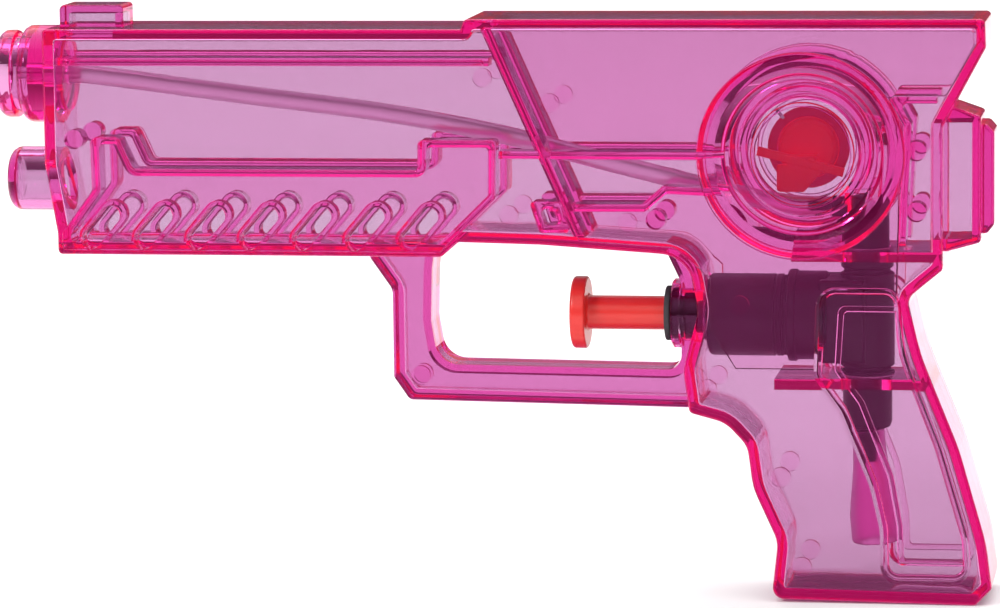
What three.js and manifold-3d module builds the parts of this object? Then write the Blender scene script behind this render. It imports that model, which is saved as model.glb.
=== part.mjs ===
// Hand-pumped water squirter: two moulded half shells round a plunger pump.
// Millimetres, +Z up, muzzle towards -X, parting plane Y = 0, origin in the middle of the hand grip.
import * as THREE from 'three';
import { mergeVertices } from 'three/addons/utils/BufferGeometryUtils.js';
import Module from 'manifold-3d';

const wasm = await Module();
wasm.setup();

// Shell sizes
const BARREL_HALF = 11.4;
const PLATE_HALF = 12.1;
const RING_HALF = 12.9;
const GUARD_HALF = 5.0;
const FACE_WALL = 1.8;
const EDGE_WALL = 2.0;
const PARTING_HALF_GAP = 0.1;
const EDGE_BEVEL = 0.8;
const PLATE_BEVEL = 0.35;
const STEP_WALL = 1.5;
const STEP_DEPTH = 2.4;
const PAD_RISE = 0.35;
const POCKET_DEPTH = 1.2;
const POCKET_SLOPE = 2.2;
const ROUND_STEPS = 36;
const TURN_STEPS = 24;

// Levels and lengths of the body
const BARREL_TOP_Z = 89.2;
const BLOCK_TOP_Z = 91.2;
const RAIL_Z = 43.7;
const FRONT_X = -163.7;
const REAR_X = 16.8;
const BASE_Z = -24.6;

// Muzzle and the stub under it
const MUZZLE_Z = 79.3;
const MUZZLE_BASE_R = 9.9;
const MUZZLE_BASE_T = 6.3;
const MUZZLE_BASE_X = FRONT_X - MUZZLE_BASE_T;
const NECK_R = 7.6;
const NECK_T = 1.2;
const FLANGE_R = 8.9;
const FLANGE_T = 3.8;
const FLANGE_BACK_X = MUZZLE_BASE_X - NECK_T;
const MUZZLE_TIP_X = FLANGE_BACK_X - FLANGE_T;
const MOUTH_R = 5.2;
const MOUTH_PAST_BASE = 2;
const MOUTH_END_X = MUZZLE_BASE_X + MOUTH_PAST_BASE;
// Seat, body and spigot of the nozzle jet behind the mouth
const MOUTH_WEB = 2.7;
const JET_BODY_T = 4.5;
const JET_SPIGOT_T = 2.4;
const JET_HOLE_R = 1.35;
const JET_SEAT_X = MOUTH_END_X + MOUTH_WEB;
const JET_END_X = JET_SEAT_X + JET_BODY_T;
const JET_BORE_END_X = JET_END_X + 10.8;
const NOZZLE_WALL = 2.2;
const NOZZLE_WALL_END_X = JET_END_X + 0.4;
// Ends of the blocks that cut the shells apart, beyond the part on every side
const BEYOND_X = [-200, 60];
const BEYOND_Z = [-60, 130];
const STUB_Z = 57.9;
const STUB_R = 6.5;
const STUB_TIP_X = -173.3;

// Round boss on the side
const RING_X = -11.0;
const RING_Z = 64.3;
const RING_R = 20.5;
const DISH_TOP_R = 17.4;
const DISH_FLOOR_R = 15.0;
const DISH_FLOOR_HALF = 7.0;
const DISH_STEP_R = 12.3;
const DISH_STEP_RISE = 0.45;
const WINDOW_RIM_R = 10.3;
const WINDOW_R = 9.4;
const WINDOW_RIM_RISE = 0.9;
const FILLER_R = 6.3;

// Slots along the barrel
const SLOT_COUNT = 7;
const SLOT_FIRST_X = -150.1;
const SLOT_PITCH = 10.82;
const SLOT_TOP_CENTRE_Z = 51.8;
const SLOT_LEAN_X = 4.2;
const SLOT_DROP_Z = 4.9;
const SLOT_R = 2.0;
const SLOT_WALL = 0.9;
const SLOT_DEPTH = 4.4;
const SLOT_FLOOR = 1.4;

// Pump
const PUMP_Z = 31.4;
const COLUMN_X = 1.2;
const PUMP_BARREL_R = 8.2;
const PUMP_BARREL_X0 = -30.4;
const PUMP_BARREL_X1 = -15.3;
const NOSE_R = 5.2;
const NOSE_X0 = -37.9;
const BORE_R = 5.6;
const BORE_FRONT_X = -28.6;
const CHAMBER_END_X = -3.4;
const GASKET_T = 0.9;
const HOUSING_R = 9.2;
const GLAND_R = 5.5;
const GLAND_T = 1.2;
const COLLAR_R = 6.95;
const COLLAR_GROOVE = 0.45;
const WEB_HALF = 6.8;
const CLEAR = 0.3;

// Plunger, piston and spring
const ROD_R = 3.4;
const BUTTON_R = 7.25;
const BUTTON_X0 = -57.9;
const BUTTON_T = 3.0;
const PISTON_R = 5.2;
const PISTON_X0 = -28.2;
const PISTON_T = 4.6;
const CUP_X0 = -26.6;
const CUP_T = 1.6;
const CUP_R = 5.45;
const CUP_SEAT_R = 4.2;
const SPRING_R = 4.3;
const SPRING_WIRE_R = 0.42;
const SPRING_COILS = 7.5;

// Valves
const VALVE_TOP_Z = 40.2;
const VALVE_BOTTOM_Z = 21.4;
const COLUMN_R = 4.4;
const PASSAGE_R = 1.6;
const BALL_R = 2.2;
const BALL_CAGE_R = 2.8;
const BALL_LIFT = 1.2;
const ELBOW_TOP_Z = 55.6;
const SPIGOT_Z = 53.3;
const SPIGOT_R = 2.05;
const SPIGOT_X0 = -5.6;
const BARB_R = 1.05;
const BARB_X0 = -10.4;
const CAP_R = 4.9;
const CAP_BOTTOM_Z = 8.8;
const NIPPLE_R = 2.3;
const NIPPLE_END_Z = 2.1;
const UPPER_RIB_Z = [43.3, 45.3];
const LOWER_RIB_Z = [17.7, 19.8];

// Tubes
const TUBE_R = 1.9;
const TUBE_BORE_R = 1.3;
const DIP_TOP_R = 3.3;
const DIP_FOOT_R = 5.1;
const DIP_BORE_R = 2.55;
const DIP_TOP_Z = 8.3;
const DIP_LENGTH = 22.6;
const DIP_LEAN = 0.085;
const JET_R = 2.15;

// Filler stopper
const STOPPER_HEAD_R = 8.2;
const STOPPER_HEAD_T = 1.5;
const STOPPER_PLUG_R = 6.05;
const STOPPER_PLUG_END = 3.4;
const ANCHOR_Y = [-2.2, -0.4];

// Builds a closed solid from a three.js geometry and turns it right way out.
function solid(geometry) {
  const bare = geometry.index ? geometry.toNonIndexed() : geometry.clone();
  bare.deleteAttribute('normal');
  bare.deleteAttribute('uv');
  const merged = mergeVertices(bare, 1e-4);
  const vertProperties = Float32Array.from(merged.attributes.position.array);
  const triVerts = Uint32Array.from(merged.index.array);
  const corner = (k) => new THREE.Vector3().fromArray(vertProperties, 3 * triVerts[k]);
  let volume = 0;
  for (let t = 0; t < triVerts.length; t += 3) {
    volume += corner(t).dot(corner(t + 1).cross(corner(t + 2)));
  }
  if (volume < 0) {
    for (let t = 0; t < triVerts.length; t += 3) {
      [triVerts[t + 1], triVerts[t + 2]] = [triVerts[t + 2], triVerts[t + 1]];
    }
  }
  return new wasm.Manifold(new wasm.Mesh({ numProp: 3, vertProperties, triVerts }));
}

// Rounds the corners of a polygon given as [x, z, radius].
function rounded(corners, step = 0.5) {
  const points = [];
  corners.forEach(([x, z, radius], i) => {
    const here = new THREE.Vector2(x, z);
    const before = corners[(i + corners.length - 1) % corners.length];
    const after = corners[(i + 1) % corners.length];
    const back = new THREE.Vector2(before[0] - x, before[1] - z);
    const ahead = new THREE.Vector2(after[0] - x, after[1] - z);
    const room = 0.48 * Math.min(back.length(), ahead.length());
    back.normalize();
    ahead.normalize();
    const half = Math.acos(THREE.MathUtils.clamp(back.dot(ahead), -1, 1)) / 2;
    const cut = Math.min((radius || 0) / Math.tan(half), room);
    if (cut < 0.05) {
      points.push(here);
      return;
    }
    const start = here.clone().addScaledVector(back, cut);
    const end = here.clone().addScaledVector(ahead, cut);
    const steps = Math.max(1, Math.round((Math.PI - 2 * half) / step));
    const curve = new THREE.QuadraticBezierCurve(start, here, end);
    points.push(...curve.getPoints(steps));
  });
  return points;
}

// Moves every side of a counter-clockwise polygon of [x, z, radius] inwards.
function inset(corners, distance) {
  return corners.map(([x, z, radius], i) => {
    const before = corners[(i + corners.length - 1) % corners.length];
    const after = corners[(i + 1) % corners.length];
    const a = new THREE.Vector2(x - before[0], z - before[1]).normalize();
    const b = new THREE.Vector2(after[0] - x, after[1] - z).normalize();
    const turn = a.cross(b);
    const mitre = new THREE.Vector2(-a.y - b.y, a.x + b.x);
    mitre.multiplyScalar(distance / (1 + a.dot(b)));
    const r = turn > 0 ? Math.max((radius || 0) - distance, 0.4) : (radius || 0) + distance;
    return [x + mitre.x, z + mitre.y, r];
  });
}

// Carries an outline in X and Z along Y from the face at y0 to y1.
// A bevel round the face at y0 goes in by run.
function prism(outline, y0, y1, bevel = 0, run = bevel) {
  const all = outline.map((p) => (p.isVector2 ? p : new THREE.Vector2(p[0], p[1])));
  const points = all.filter((p, i) => p.distanceTo(all[(i + 1) % all.length]) > 0.02);
  const count = points.length;
  const edge = points.map((p, i) => {
    const a = p.clone().sub(points[(i + count - 1) % count]).normalize();
    const b = points[(i + 1) % count].clone().sub(p).normalize();
    const mitre = new THREE.Vector2(-a.y - b.y, a.x + b.x).multiplyScalar(1 / (1 + a.dot(b)));
    return p.clone().addScaledVector(mitre, run);
  });
  const inward = Math.sign(y1 - y0);
  const rings = [[points, y1], [points, y0 + inward * bevel]];
  if (bevel > 0) {
    rings.push([edge, y0]);
  }
  const positions = rings.flatMap(([ring, y]) => ring.flatMap((p) => [p.x, y, p.y]));
  const faces = [];
  for (let level = 0; level + 1 < rings.length; level += 1) {
    for (let i = 0; i < count; i += 1) {
      const j = (i + 1) % count;
      const low = level * count;
      const high = low + count;
      faces.push(low + i, low + j, high + j, low + i, high + j, high + i);
    }
  }
  const top = (rings.length - 1) * count;
  THREE.ShapeUtils.triangulateShape(points, []).forEach(([i, j, k]) => {
    faces.push(i, k, j);
    faces.push(top + i, top + j, top + k);
  });
  const geometry = new THREE.BufferGeometry();
  geometry.setAttribute('position', new THREE.BufferAttribute(new Float32Array(positions), 3));
  geometry.setIndex(faces);
  return solid(geometry);
}

// Turns a closed profile of [radius, along] about an axis through (x, y, z).
function turned(profile, axis, [x, y, z], steps = ROUND_STEPS) {
  const points = profile.map(([r, along]) => new THREE.Vector2(Math.max(r, 0), along));
  const ring = points[0].distanceTo(points[points.length - 1]) > 1e-6 && points[0].x > 0;
  if (ring) {
    points.push(points[0].clone());
  }
  const geometry = new THREE.LatheGeometry(points, steps);
  if (axis === 'X') {
    geometry.rotateZ(-Math.PI / 2);
  }
  if (axis === 'Z') {
    geometry.rotateX(Math.PI / 2);
  }
  geometry.translate(x, y, z);
  return solid(geometry);
}

function block(x0, x1, y0, y1, z0, z1) {
  const geometry = new THREE.BoxGeometry(x1 - x0, y1 - y0, z1 - z0);
  geometry.translate((x0 + x1) / 2, (y0 + y1) / 2, (z0 + z1) / 2);
  return solid(geometry);
}

const rod = (axis, r, a0, a1, at, steps = 24) =>
  turned([[0, a0], [r, a0], [r, a1], [0, a1]], axis, at, steps);

const joined = (parts) => parts.reduce((sum, part) => sum.add(part));

// Outlines in X and Z, counter-clockwise, as [x, z, corner radius].
const bodyOutline = [
  [-17.2, BASE_Z + 0.3, 2.2], [23.2, BASE_Z - 0.3, 0.8], [26.5, -21.6, 1.2], [25.4, -12.6, 30],
  [20.0, 6.4, 40], [12.5, 25.0, 40], [9.9, 36.2, 2.6], [REAR_X, 41.9, 1.0],
  [REAR_X, 70.0, 1.0], [25.2, 85.6, 1.0], [25.0, BLOCK_TOP_Z, 0.8], [-77.6, BLOCK_TOP_Z, 0.6],
  [-78.4, BARREL_TOP_Z, 0], [FRONT_X, BARREL_TOP_Z, 1.0], [FRONT_X, 61.8, 8], [-161.4, 48.0, 4],
  [-161.4, RAIL_Z, 0.6], [-82.9, RAIL_Z, 0.8], [-79.4, 46.7, 0.8], [-62.9, 46.3, 30],
  [-33.4, 44.3, 8], [-31.5, 33.0, 9], [-34.6, 21.5, 9], [-33.4, 12.9, 1.2],
  [-26.2, 11.0, 7], [-21.9, 6.4, 5], [-20.8, -2.0, 12], [-15.9, -12.8, 6],
];
const guardOutline = [
  [-33.4, 12.9, 0], [-29.0, 18.0, 0], [-29.0, 46.0, 0], [-76.0, 50.0, 0],
  [-98.6, 50.0, 0], [-98.6, 42.6, 1.0], [-94.1, 36.2, 3], [-94.1, 18.4, 1.5], [-90.9, 13.8, 1.5],
];
const openingOutline = [
  [-35.6, 20.6, 3], [-35.4, 38.0, 6], [-42.0, 52.0, 0], [-84.6, 52.0, 0],
  [-85.9, 40.0, 4], [-86.2, 30.0, 6], [-84.8, 21.2, 6],
];
const hammerOutline = [
  [12.0, 45.4, 0], [17.5, 45.2, 1.0], [24.1, 47.0, 0.8], [24.1, 71.9, 1.0], [19.0, 73.7, 1.0],
  [12.0, 73.7, 0],
];
const hammerTipOutline = [
  [20.0, 48.6, 0], [25.2, 48.6, 0.8], [26.6, 50.4, 1.2], [26.6, 68.6, 1.2], [25.2, 70.2, 0.8],
  [20.0, 70.2, 0],
];
const slotPanel = [
  [-160.2, RAIL_Z + 1.0, 0.6], [-82.9, RAIL_Z + 1.0, 0.8], [-78.3, 49.2, 1.0], [-71.9, 55.4, 1.2],
  [-71.7, 67.1, 1.0], [-87.2, 67.1, 0.8], [-87.3, 61.1, 0.8], [-145.6, 61.1, 1.2],
  [-148.5, 67.5, 1.2], [-154.0, 67.5, 1.2], [-153.8, 56.8, 1.5], [-160.2, 48.2, 1.0],
];
const rearPlate = [
  [-55.1, 47.2, 0.8], [-36.0, 46.0, 2], [-29.0, 40.0, 0], [-29.0, 30.0, 0], [-24.0, 22.0, 0],
  [8.0, 22.0, 0], [8.0, 38.0, 2.0], [8.5, 57.0, 2], [9.2, 70.2, 1.5], [6.0, 76.1, 1.0],
  [17.6, 76.1, 1.0], [23.4, 86.2, 1.0], [23.4, 89.6, 0.8], [-74.2, 89.6, 0.8],
];
const channelOutline = [
  [-57.6, 54.5, 0.6], [-42.5, 54.5, 0.8], [-38.3, 58.0, 0.8], [-26.0, 57.6, 0], [-26.0, 63.4, 0],
  [-61.7, 63.4, 0.6],
];
const gripPocket = [
  [4.6, -20.8, 3.6], [22.4, -20.8, 3.6], [22.0, -12.0, 10], [16.6, 6.4, 30], [9.4, 25.0, 20],
  [7.4, 34.5, 3.6], [-7.6, 37.4, 3.6], [-8.6, 20.4, 3.6], [-3.6, 13.4, 6], [2.4, -1.2, 20], [4.4, -10.0, 10],
];
// Walls inside the shell that follow the steps of its outside:
// front of the block, upper and lower line, rear edge.
const blockFront = [[-75.0, 90.2], [-55.6, 46.4], [-53.4, 46.4], [-72.8, 90.2]];
const upperLine = [[-71.2, 63.4], [-27.0, 63.4], [-27.0, 63.4 + STEP_WALL], [-71.2, 63.4 + STEP_WALL]];
const lowerLine = [
  [-61.1, 54.4 - STEP_WALL], [-42.0, 54.5 - STEP_WALL], [-37.8, 58.1 - STEP_WALL], [-27.0, 57.6 - STEP_WALL],
  [-27.0, 57.6], [-38.4, 58.1], [-42.6, 54.5], [-61.1, 54.4],
];
const rearEdge = [
  [8.0, 46.4], [8.0 + STEP_WALL, 46.4], [8.5 + STEP_WALL, 57.0], [9.2 + STEP_WALL, 70.4],
  [8.4, 76.1 - STEP_WALL], [15.6, 76.1 - STEP_WALL], [15.6, 76.1], [6.0, 76.1], [9.2, 70.2], [8.5, 57.0],
];
// Locating posts that meet at the parting plane, as [x, z, radius]. The last one is in the guard.
const POSTS = [
  [-157.8, 66.9, 2.0], [-39.9, 51.4, 1.9], [11.6, 65.2, 1.9], [11.6, 53.2, 1.9], [-88.8, 18.6, 1.9],
];
// Low round pads on the inside of the wall, as [x, z, radius].
const PADS = [
  [-15.3, 0.1, 2.0], [-11.2, -18.0, 2.0], [-74.3, 79.5, 1.9], [-60.8, 74.5, 1.9], [-69.3, 52.1, 1.9],
  [-45.5, 50.8, 1.9], [-29.8, 17.6, 1.9], [-23.3, 34.5, 1.9],
];

// A pill-shaped outline between two centres.
function pill(x0, z0, x1, z1, r, steps = 6) {
  const lean = Math.atan2(z1 - z0, x1 - x0);
  const points = [];
  for (let k = 0; k <= steps; k += 1) {
    const a = lean - Math.PI / 2 + (Math.PI * k) / steps;
    points.push([x1 + r * Math.cos(a), z1 + r * Math.sin(a)]);
  }
  for (let k = 0; k <= steps; k += 1) {
    const a = lean + Math.PI / 2 + (Math.PI * k) / steps;
    points.push([x0 + r * Math.cos(a), z0 + r * Math.sin(a)]);
  }
  return points;
}

// One half shell. side is -1 for the left half and +1 for the right half.
function halfShell(side) {
  const far = 30;
  const over = -4 * side;
  const at = (half) => side * half;
  const body = prism(rounded(bodyOutline), at(BARREL_HALF), over, EDGE_BEVEL);
  const guard = prism(rounded(guardOutline), at(GUARD_HALF), over, EDGE_BEVEL)
    .subtract(prism(rounded(openingOutline), -far, far));
  const hammer = prism(rounded(hammerOutline), at(8.2), over, EDGE_BEVEL);
  const hammerTip = prism(rounded(hammerTipOutline), at(6.6), over, EDGE_BEVEL);
  const sight = prism(
    [[-161.6, 86.0], [-148.4, 86.0], [-148.4, 93.0], [-148.9, 93.6], [-160.8, 93.6], [-161.6, 92.6]],
    at(4.6), over, 0.4,
  );
  const ridge = prism(
    [[-162.9, 82.0], [-73.6, 82.0], [-74.1, 83.2], [-162.9, 83.2]], at(BARREL_HALF + 0.6), over,
  );
  const panel = prism(rounded(slotPanel), at(PLATE_HALF), over, PLATE_BEVEL);
  const plate = prism(rounded(rearPlate), at(PLATE_HALF), over, PLATE_BEVEL);
  const channel = prism(rounded(channelOutline), at(BARREL_HALF + 0.1), at(far));
  const rim = turned(
    [[0, 0], [RING_R, 0], [RING_R, at(RING_HALF - 0.5)], [RING_R - 0.5, at(RING_HALF)], [0, at(RING_HALF)]],
    'Y', [RING_X, 0, RING_Z],
  );
  const muzzle = turned(
    [
      [0, MUZZLE_TIP_X], [FLANGE_R - 1.6, MUZZLE_TIP_X], [FLANGE_R - 0.5, MUZZLE_TIP_X + 0.7],
      [FLANGE_R, MUZZLE_TIP_X + 1.9], [FLANGE_R, FLANGE_BACK_X - 0.4], [FLANGE_R - 0.5, FLANGE_BACK_X],
      [NECK_R, FLANGE_BACK_X], [NECK_R, MUZZLE_BASE_X], [MUZZLE_BASE_R - 1.8, MUZZLE_BASE_X],
      [MUZZLE_BASE_R - 0.5, MUZZLE_BASE_X + 0.7], [MUZZLE_BASE_R, MUZZLE_BASE_X + 2.2],
      [MUZZLE_BASE_R, FRONT_X + 1.0], [0, FRONT_X + 1.0],
    ],
    'X', [0, 0, MUZZLE_Z],
  );
  const stub = turned(
    [
      [0, STUB_TIP_X], [STUB_R - 2.0, STUB_TIP_X], [STUB_R - 0.6, STUB_TIP_X + 0.7],
      [STUB_R, STUB_TIP_X + 2.2], [STUB_R, FRONT_X + 2.0], [0, FRONT_X + 2.0],
    ],
    'X', [0, 0, STUB_Z], TURN_STEPS,
  );
  const collar = turned(
    [
      [0, NOSE_X0 + 0.2], [COLLAR_R - 0.4, NOSE_X0 + 0.2],
      [COLLAR_R, NOSE_X0 + 0.6], [COLLAR_R, NOSE_X0 + 1.9],
      [COLLAR_R - COLLAR_GROOVE, NOSE_X0 + 2.2], [COLLAR_R - COLLAR_GROOVE, NOSE_X0 + 2.9],
      [COLLAR_R, NOSE_X0 + 3.2], [COLLAR_R, PUMP_BARREL_X0 + 0.4], [0, PUMP_BARREL_X0 + 0.4],
    ],
    'X', [0, 0, PUMP_Z], TURN_STEPS,
  );
  const outside = [body, guard, hammer, hammerTip, sight, ridge, panel, plate, rim, muzzle, stub, collar];
  const outer = joined(outside)
    .subtract(channel.subtract(rim));

  const innerHalf = BARREL_HALF - FACE_WALL;
  const bodyHollow = prism(rounded(inset(bodyOutline, EDGE_WALL)), at(innerHalf), over);
  const guardHollow = prism(rounded(inset(guardOutline, EDGE_WALL)), at(GUARD_HALF - FACE_WALL), over)
    .subtract(prism(rounded(inset(openingOutline, -EDGE_WALL)), -far, far))
    .subtract(prism(rounded(bodyOutline), -far, far));
  const hammerHollow = block(
    10.0, 22.3, Math.min(at(6.4), over), Math.max(at(6.4), over), 47.6, 70.6,
  );
  const stubHollow = rod('X', STUB_R - EDGE_WALL, STUB_TIP_X + EDGE_WALL, -150.0, [0, 0, STUB_Z], TURN_STEPS);
  const sightHollow = block(-159.8, -150.2, Math.min(at(3.0), over), Math.max(at(3.0), over), 84.0, 91.8);
  const hollow = joined([bodyHollow, guardHollow, hammerHollow, stubHollow, sightHollow]);

  // What stands inside the hollow: posts, cradle ribs, the dish of the ring, slot cups and the nozzle wall.
  const posts = POSTS.map(([x, z, r]) => rod('Y', r, 0, at(BARREL_HALF - 1), [x, 0, z], 12))
    .map((post, i) => (i === POSTS.length - 1 ? post.intersect(guard) : post));
  const pads = PADS.map(([x, z, r]) => (
    rod('Y', r, at(innerHalf - PAD_RISE), at(innerHalf + 0.5), [x, 0, z], 12)
  ));
  const wallFace = at(innerHalf - STEP_DEPTH);
  const panelWall = prism(rounded(slotPanel, 0.8), wallFace, at(innerHalf + 0.5))
    .subtract(prism(rounded(inset(slotPanel, STEP_WALL), 0.8), -far, far));
  const stepWalls = [blockFront, upperLine, lowerLine, rearEdge]
    .map((outline) => prism(outline, wallFace, at(innerHalf + 0.5)));
  const pocketBack = prism(rounded(gripPocket), at(innerHalf - POCKET_DEPTH), at(innerHalf + 0.5))
    .subtract(rod('X', HOUSING_R + CLEAR, -20, -6.2, [0, 0, PUMP_Z], TURN_STEPS));
  const ribs = [
    block(-13.0, 15.5, Math.min(0, at(innerHalf + 1)), Math.max(0, at(innerHalf + 1)), ...UPPER_RIB_Z),
    block(-16.5, 14.0, Math.min(0, at(innerHalf + 1)), Math.max(0, at(innerHalf + 1)), ...LOWER_RIB_Z),
  ];
  const notches = joined([
    rod('Z', COLUMN_R + CLEAR, 30, 60, [COLUMN_X, 0, 0], TURN_STEPS),
    rod('Z', CAP_R + CLEAR, 10, 30, [COLUMN_X, 0, 0], TURN_STEPS),
  ]);
  const floorIn = DISH_FLOOR_HALF - FACE_WALL;
  const dish = turned(
    [
      [0, at(floorIn)], [DISH_FLOOR_R + 0.6, at(floorIn)], [DISH_TOP_R + 1.4, at(BARREL_HALF - 1)],
      [DISH_TOP_R + 1.4, at(BARREL_HALF - 0.5)], [0, at(BARREL_HALF - 0.5)],
    ],
    'Y', [RING_X, 0, RING_Z],
  );
  const dishRecess = turned(
    [
      [0, at(DISH_FLOOR_HALF)], [WINDOW_R, at(DISH_FLOOR_HALF)],
      [WINDOW_R, at(DISH_FLOOR_HALF + WINDOW_RIM_RISE)],
      [WINDOW_RIM_R, at(DISH_FLOOR_HALF + WINDOW_RIM_RISE)],
      [WINDOW_RIM_R, at(DISH_FLOOR_HALF)], [DISH_STEP_R, at(DISH_FLOOR_HALF)],
      [DISH_STEP_R + 0.3, at(DISH_FLOOR_HALF + DISH_STEP_RISE)],
      [DISH_FLOOR_R, at(DISH_FLOOR_HALF + DISH_STEP_RISE)],
      [DISH_TOP_R, at(BARREL_HALF - 0.2)], [DISH_TOP_R + 1.3, at(BARREL_HALF - 0.2)],
      [DISH_TOP_R + 1.3, at(far)], [0, at(far)],
    ],
    'Y', [RING_X, 0, RING_Z],
  );
  const cups = [];
  const pockets = [];
  for (let k = 0; k < SLOT_COUNT; k += 1) {
    const x1 = SLOT_FIRST_X + k * SLOT_PITCH;
    const ends = [x1 - SLOT_LEAN_X, SLOT_TOP_CENTRE_Z - SLOT_DROP_Z, x1, SLOT_TOP_CENTRE_Z];
    const cupEnd = PLATE_HALF - SLOT_DEPTH - SLOT_FLOOR;
    cups.push(prism(pill(...ends, SLOT_R + SLOT_WALL), at(cupEnd), at(BARREL_HALF - 0.6)));
    pockets.push(prism(pill(...ends, SLOT_R), at(PLATE_HALF - SLOT_DEPTH), at(far)));
  }
  const nozzleWall = rod(
    'X', MOUTH_R + NOZZLE_WALL, MOUTH_END_X, NOZZLE_WALL_END_X, [0, 0, MUZZLE_Z], TURN_STEPS,
  );
  const halfFrom = (gap) => block(
    ...BEYOND_X, side < 0 ? -far : gap, side < 0 ? -gap : far, ...BEYOND_Z,
  );
  const half = halfFrom(PARTING_HALF_GAP);
  const postHalf = halfFrom(0);
  let shell = outer.subtract(hollow).add(nozzleWall).add(joined(ribs).subtract(notches).intersect(outer));
  const inside = joined([panelWall, ...stepWalls, pocketBack, ...pads]).intersect(outer);
  shell = joined([shell, inside, dish, ...cups]).intersect(half);
  shell = shell.add(joined(posts).intersect(postHalf)).subtract(dishRecess);
  shell = pockets.reduce((rest, pocket) => rest.subtract(pocket), shell);
  shell = shell.subtract(
    prism(rounded(gripPocket), at(BARREL_HALF - POCKET_DEPTH), at(far), POCKET_DEPTH + 0.02, POCKET_SLOPE),
  );
  // Bores for the muzzle mouth, the nozzle jet and the pump's nose.
  const mouth = rod('X', MOUTH_R, MUZZLE_TIP_X - 15, MOUTH_END_X, [0, 0, MUZZLE_Z], TURN_STEPS);
  const jetBore = rod('X', JET_R + 0.15, JET_SEAT_X, JET_BORE_END_X, [0, 0, MUZZLE_Z], 24);
  const jetHole = rod('X', JET_HOLE_R, MUZZLE_TIP_X - 15, JET_BORE_END_X, [0, 0, MUZZLE_Z], 24);
  const noseBore = rod('X', NOSE_R + 0.15, -60, PUMP_BARREL_X0 + 1, [0, 0, PUMP_Z], TURN_STEPS);
  const barrelBore = rod('X', PUMP_BARREL_R + 0.3, PUMP_BARREL_X0 - 0.3, -10, [0, 0, PUMP_Z], TURN_STEPS);
  shell = shell.subtract(joined([mouth, jetBore, jetHole, noseBore, barrelBore]));
  if (side > 0) {
    shell = shell.subtract(rod('Y', FILLER_R, -far, far, [RING_X, 0, RING_Z], ROUND_STEPS));
  }
  return shell.simplify(0.01);
}

// Pump
const pumpBarrel = turned(
  [
    [ROD_R + CLEAR, NOSE_X0 + 1.8], [ROD_R + 1.4, NOSE_X0 + 1.8], [ROD_R + 1.4, NOSE_X0], [NOSE_R, NOSE_X0],
    [NOSE_R, PUMP_BARREL_X0], [PUMP_BARREL_R - 0.9, PUMP_BARREL_X0], [PUMP_BARREL_R, PUMP_BARREL_X0 + 0.9],
    [PUMP_BARREL_R, PUMP_BARREL_X1], [BORE_R, PUMP_BARREL_X1], [BORE_R, BORE_FRONT_X],
    [ROD_R + CLEAR, BORE_FRONT_X],
  ],
  'X', [0, 0, PUMP_Z], TURN_STEPS,
);
const rodSeal = turned(
  [[ROD_R + 0.12, NOSE_X0 + 0.1], [ROD_R + 1.25, NOSE_X0 + 0.1], [ROD_R + 1.25, NOSE_X0 + 1.8],
    [ROD_R + 0.12, NOSE_X0 + 1.8]],
  'X', [0, 0, PUMP_Z], TURN_STEPS,
);
const glandRing = turned(
  [[ROD_R + 0.2, NOSE_X0 - GLAND_T], [GLAND_R - 0.3, NOSE_X0 - GLAND_T], [GLAND_R, NOSE_X0 - GLAND_T + 0.3],
    [GLAND_R, NOSE_X0], [ROD_R + 0.2, NOSE_X0]],
  'X', [0, 0, PUMP_Z], TURN_STEPS,
);
const barrelGasket = turned(
  [[BORE_R + 0.1, PUMP_BARREL_X1], [PUMP_BARREL_R - 0.2, PUMP_BARREL_X1],
    [PUMP_BARREL_R - 0.2, PUMP_BARREL_X1 + GASKET_T], [BORE_R + 0.1, PUMP_BARREL_X1 + GASKET_T]],
  'X', [0, 0, PUMP_Z], TURN_STEPS,
);
const housingX0 = PUMP_BARREL_X1 + GASKET_T;
const column = [COLUMN_X, 0, 0];
const valveBody = joined([
  turned(
    [
      [0, housingX0], [HOUSING_R - 0.5, housingX0], [HOUSING_R, housingX0 + 0.5],
      [HOUSING_R, -6.5], [0, -6.5],
    ],
    'X', [0, 0, PUMP_Z], TURN_STEPS,
  ),
  block(-8.0, COLUMN_X, -WEB_HALF, WEB_HALF, VALVE_BOTTOM_Z + 1.2, VALVE_TOP_Z - 1.0),
  rod('Z', 5.4, VALVE_BOTTOM_Z, VALVE_TOP_Z, column, TURN_STEPS),
])
  .subtract(rod('X', BORE_R, housingX0 - 1, CHAMBER_END_X, [0, 0, PUMP_Z], TURN_STEPS))
  .subtract(rod('X', 1.4, CHAMBER_END_X - 1, COLUMN_X, [0, 0, PUMP_Z], 16))
  .subtract(rod('Z', PASSAGE_R, 0, 60, column, 16));
const outletGasket = turned(
  [[BALL_CAGE_R + 0.2, VALVE_TOP_Z], [4.6, VALVE_TOP_Z], [4.6, VALVE_TOP_Z + GASKET_T],
    [BALL_CAGE_R + 0.2, VALVE_TOP_Z + GASKET_T]],
  'Z', column, TURN_STEPS,
);
const elbowZ0 = VALVE_TOP_Z + GASKET_T;
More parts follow.
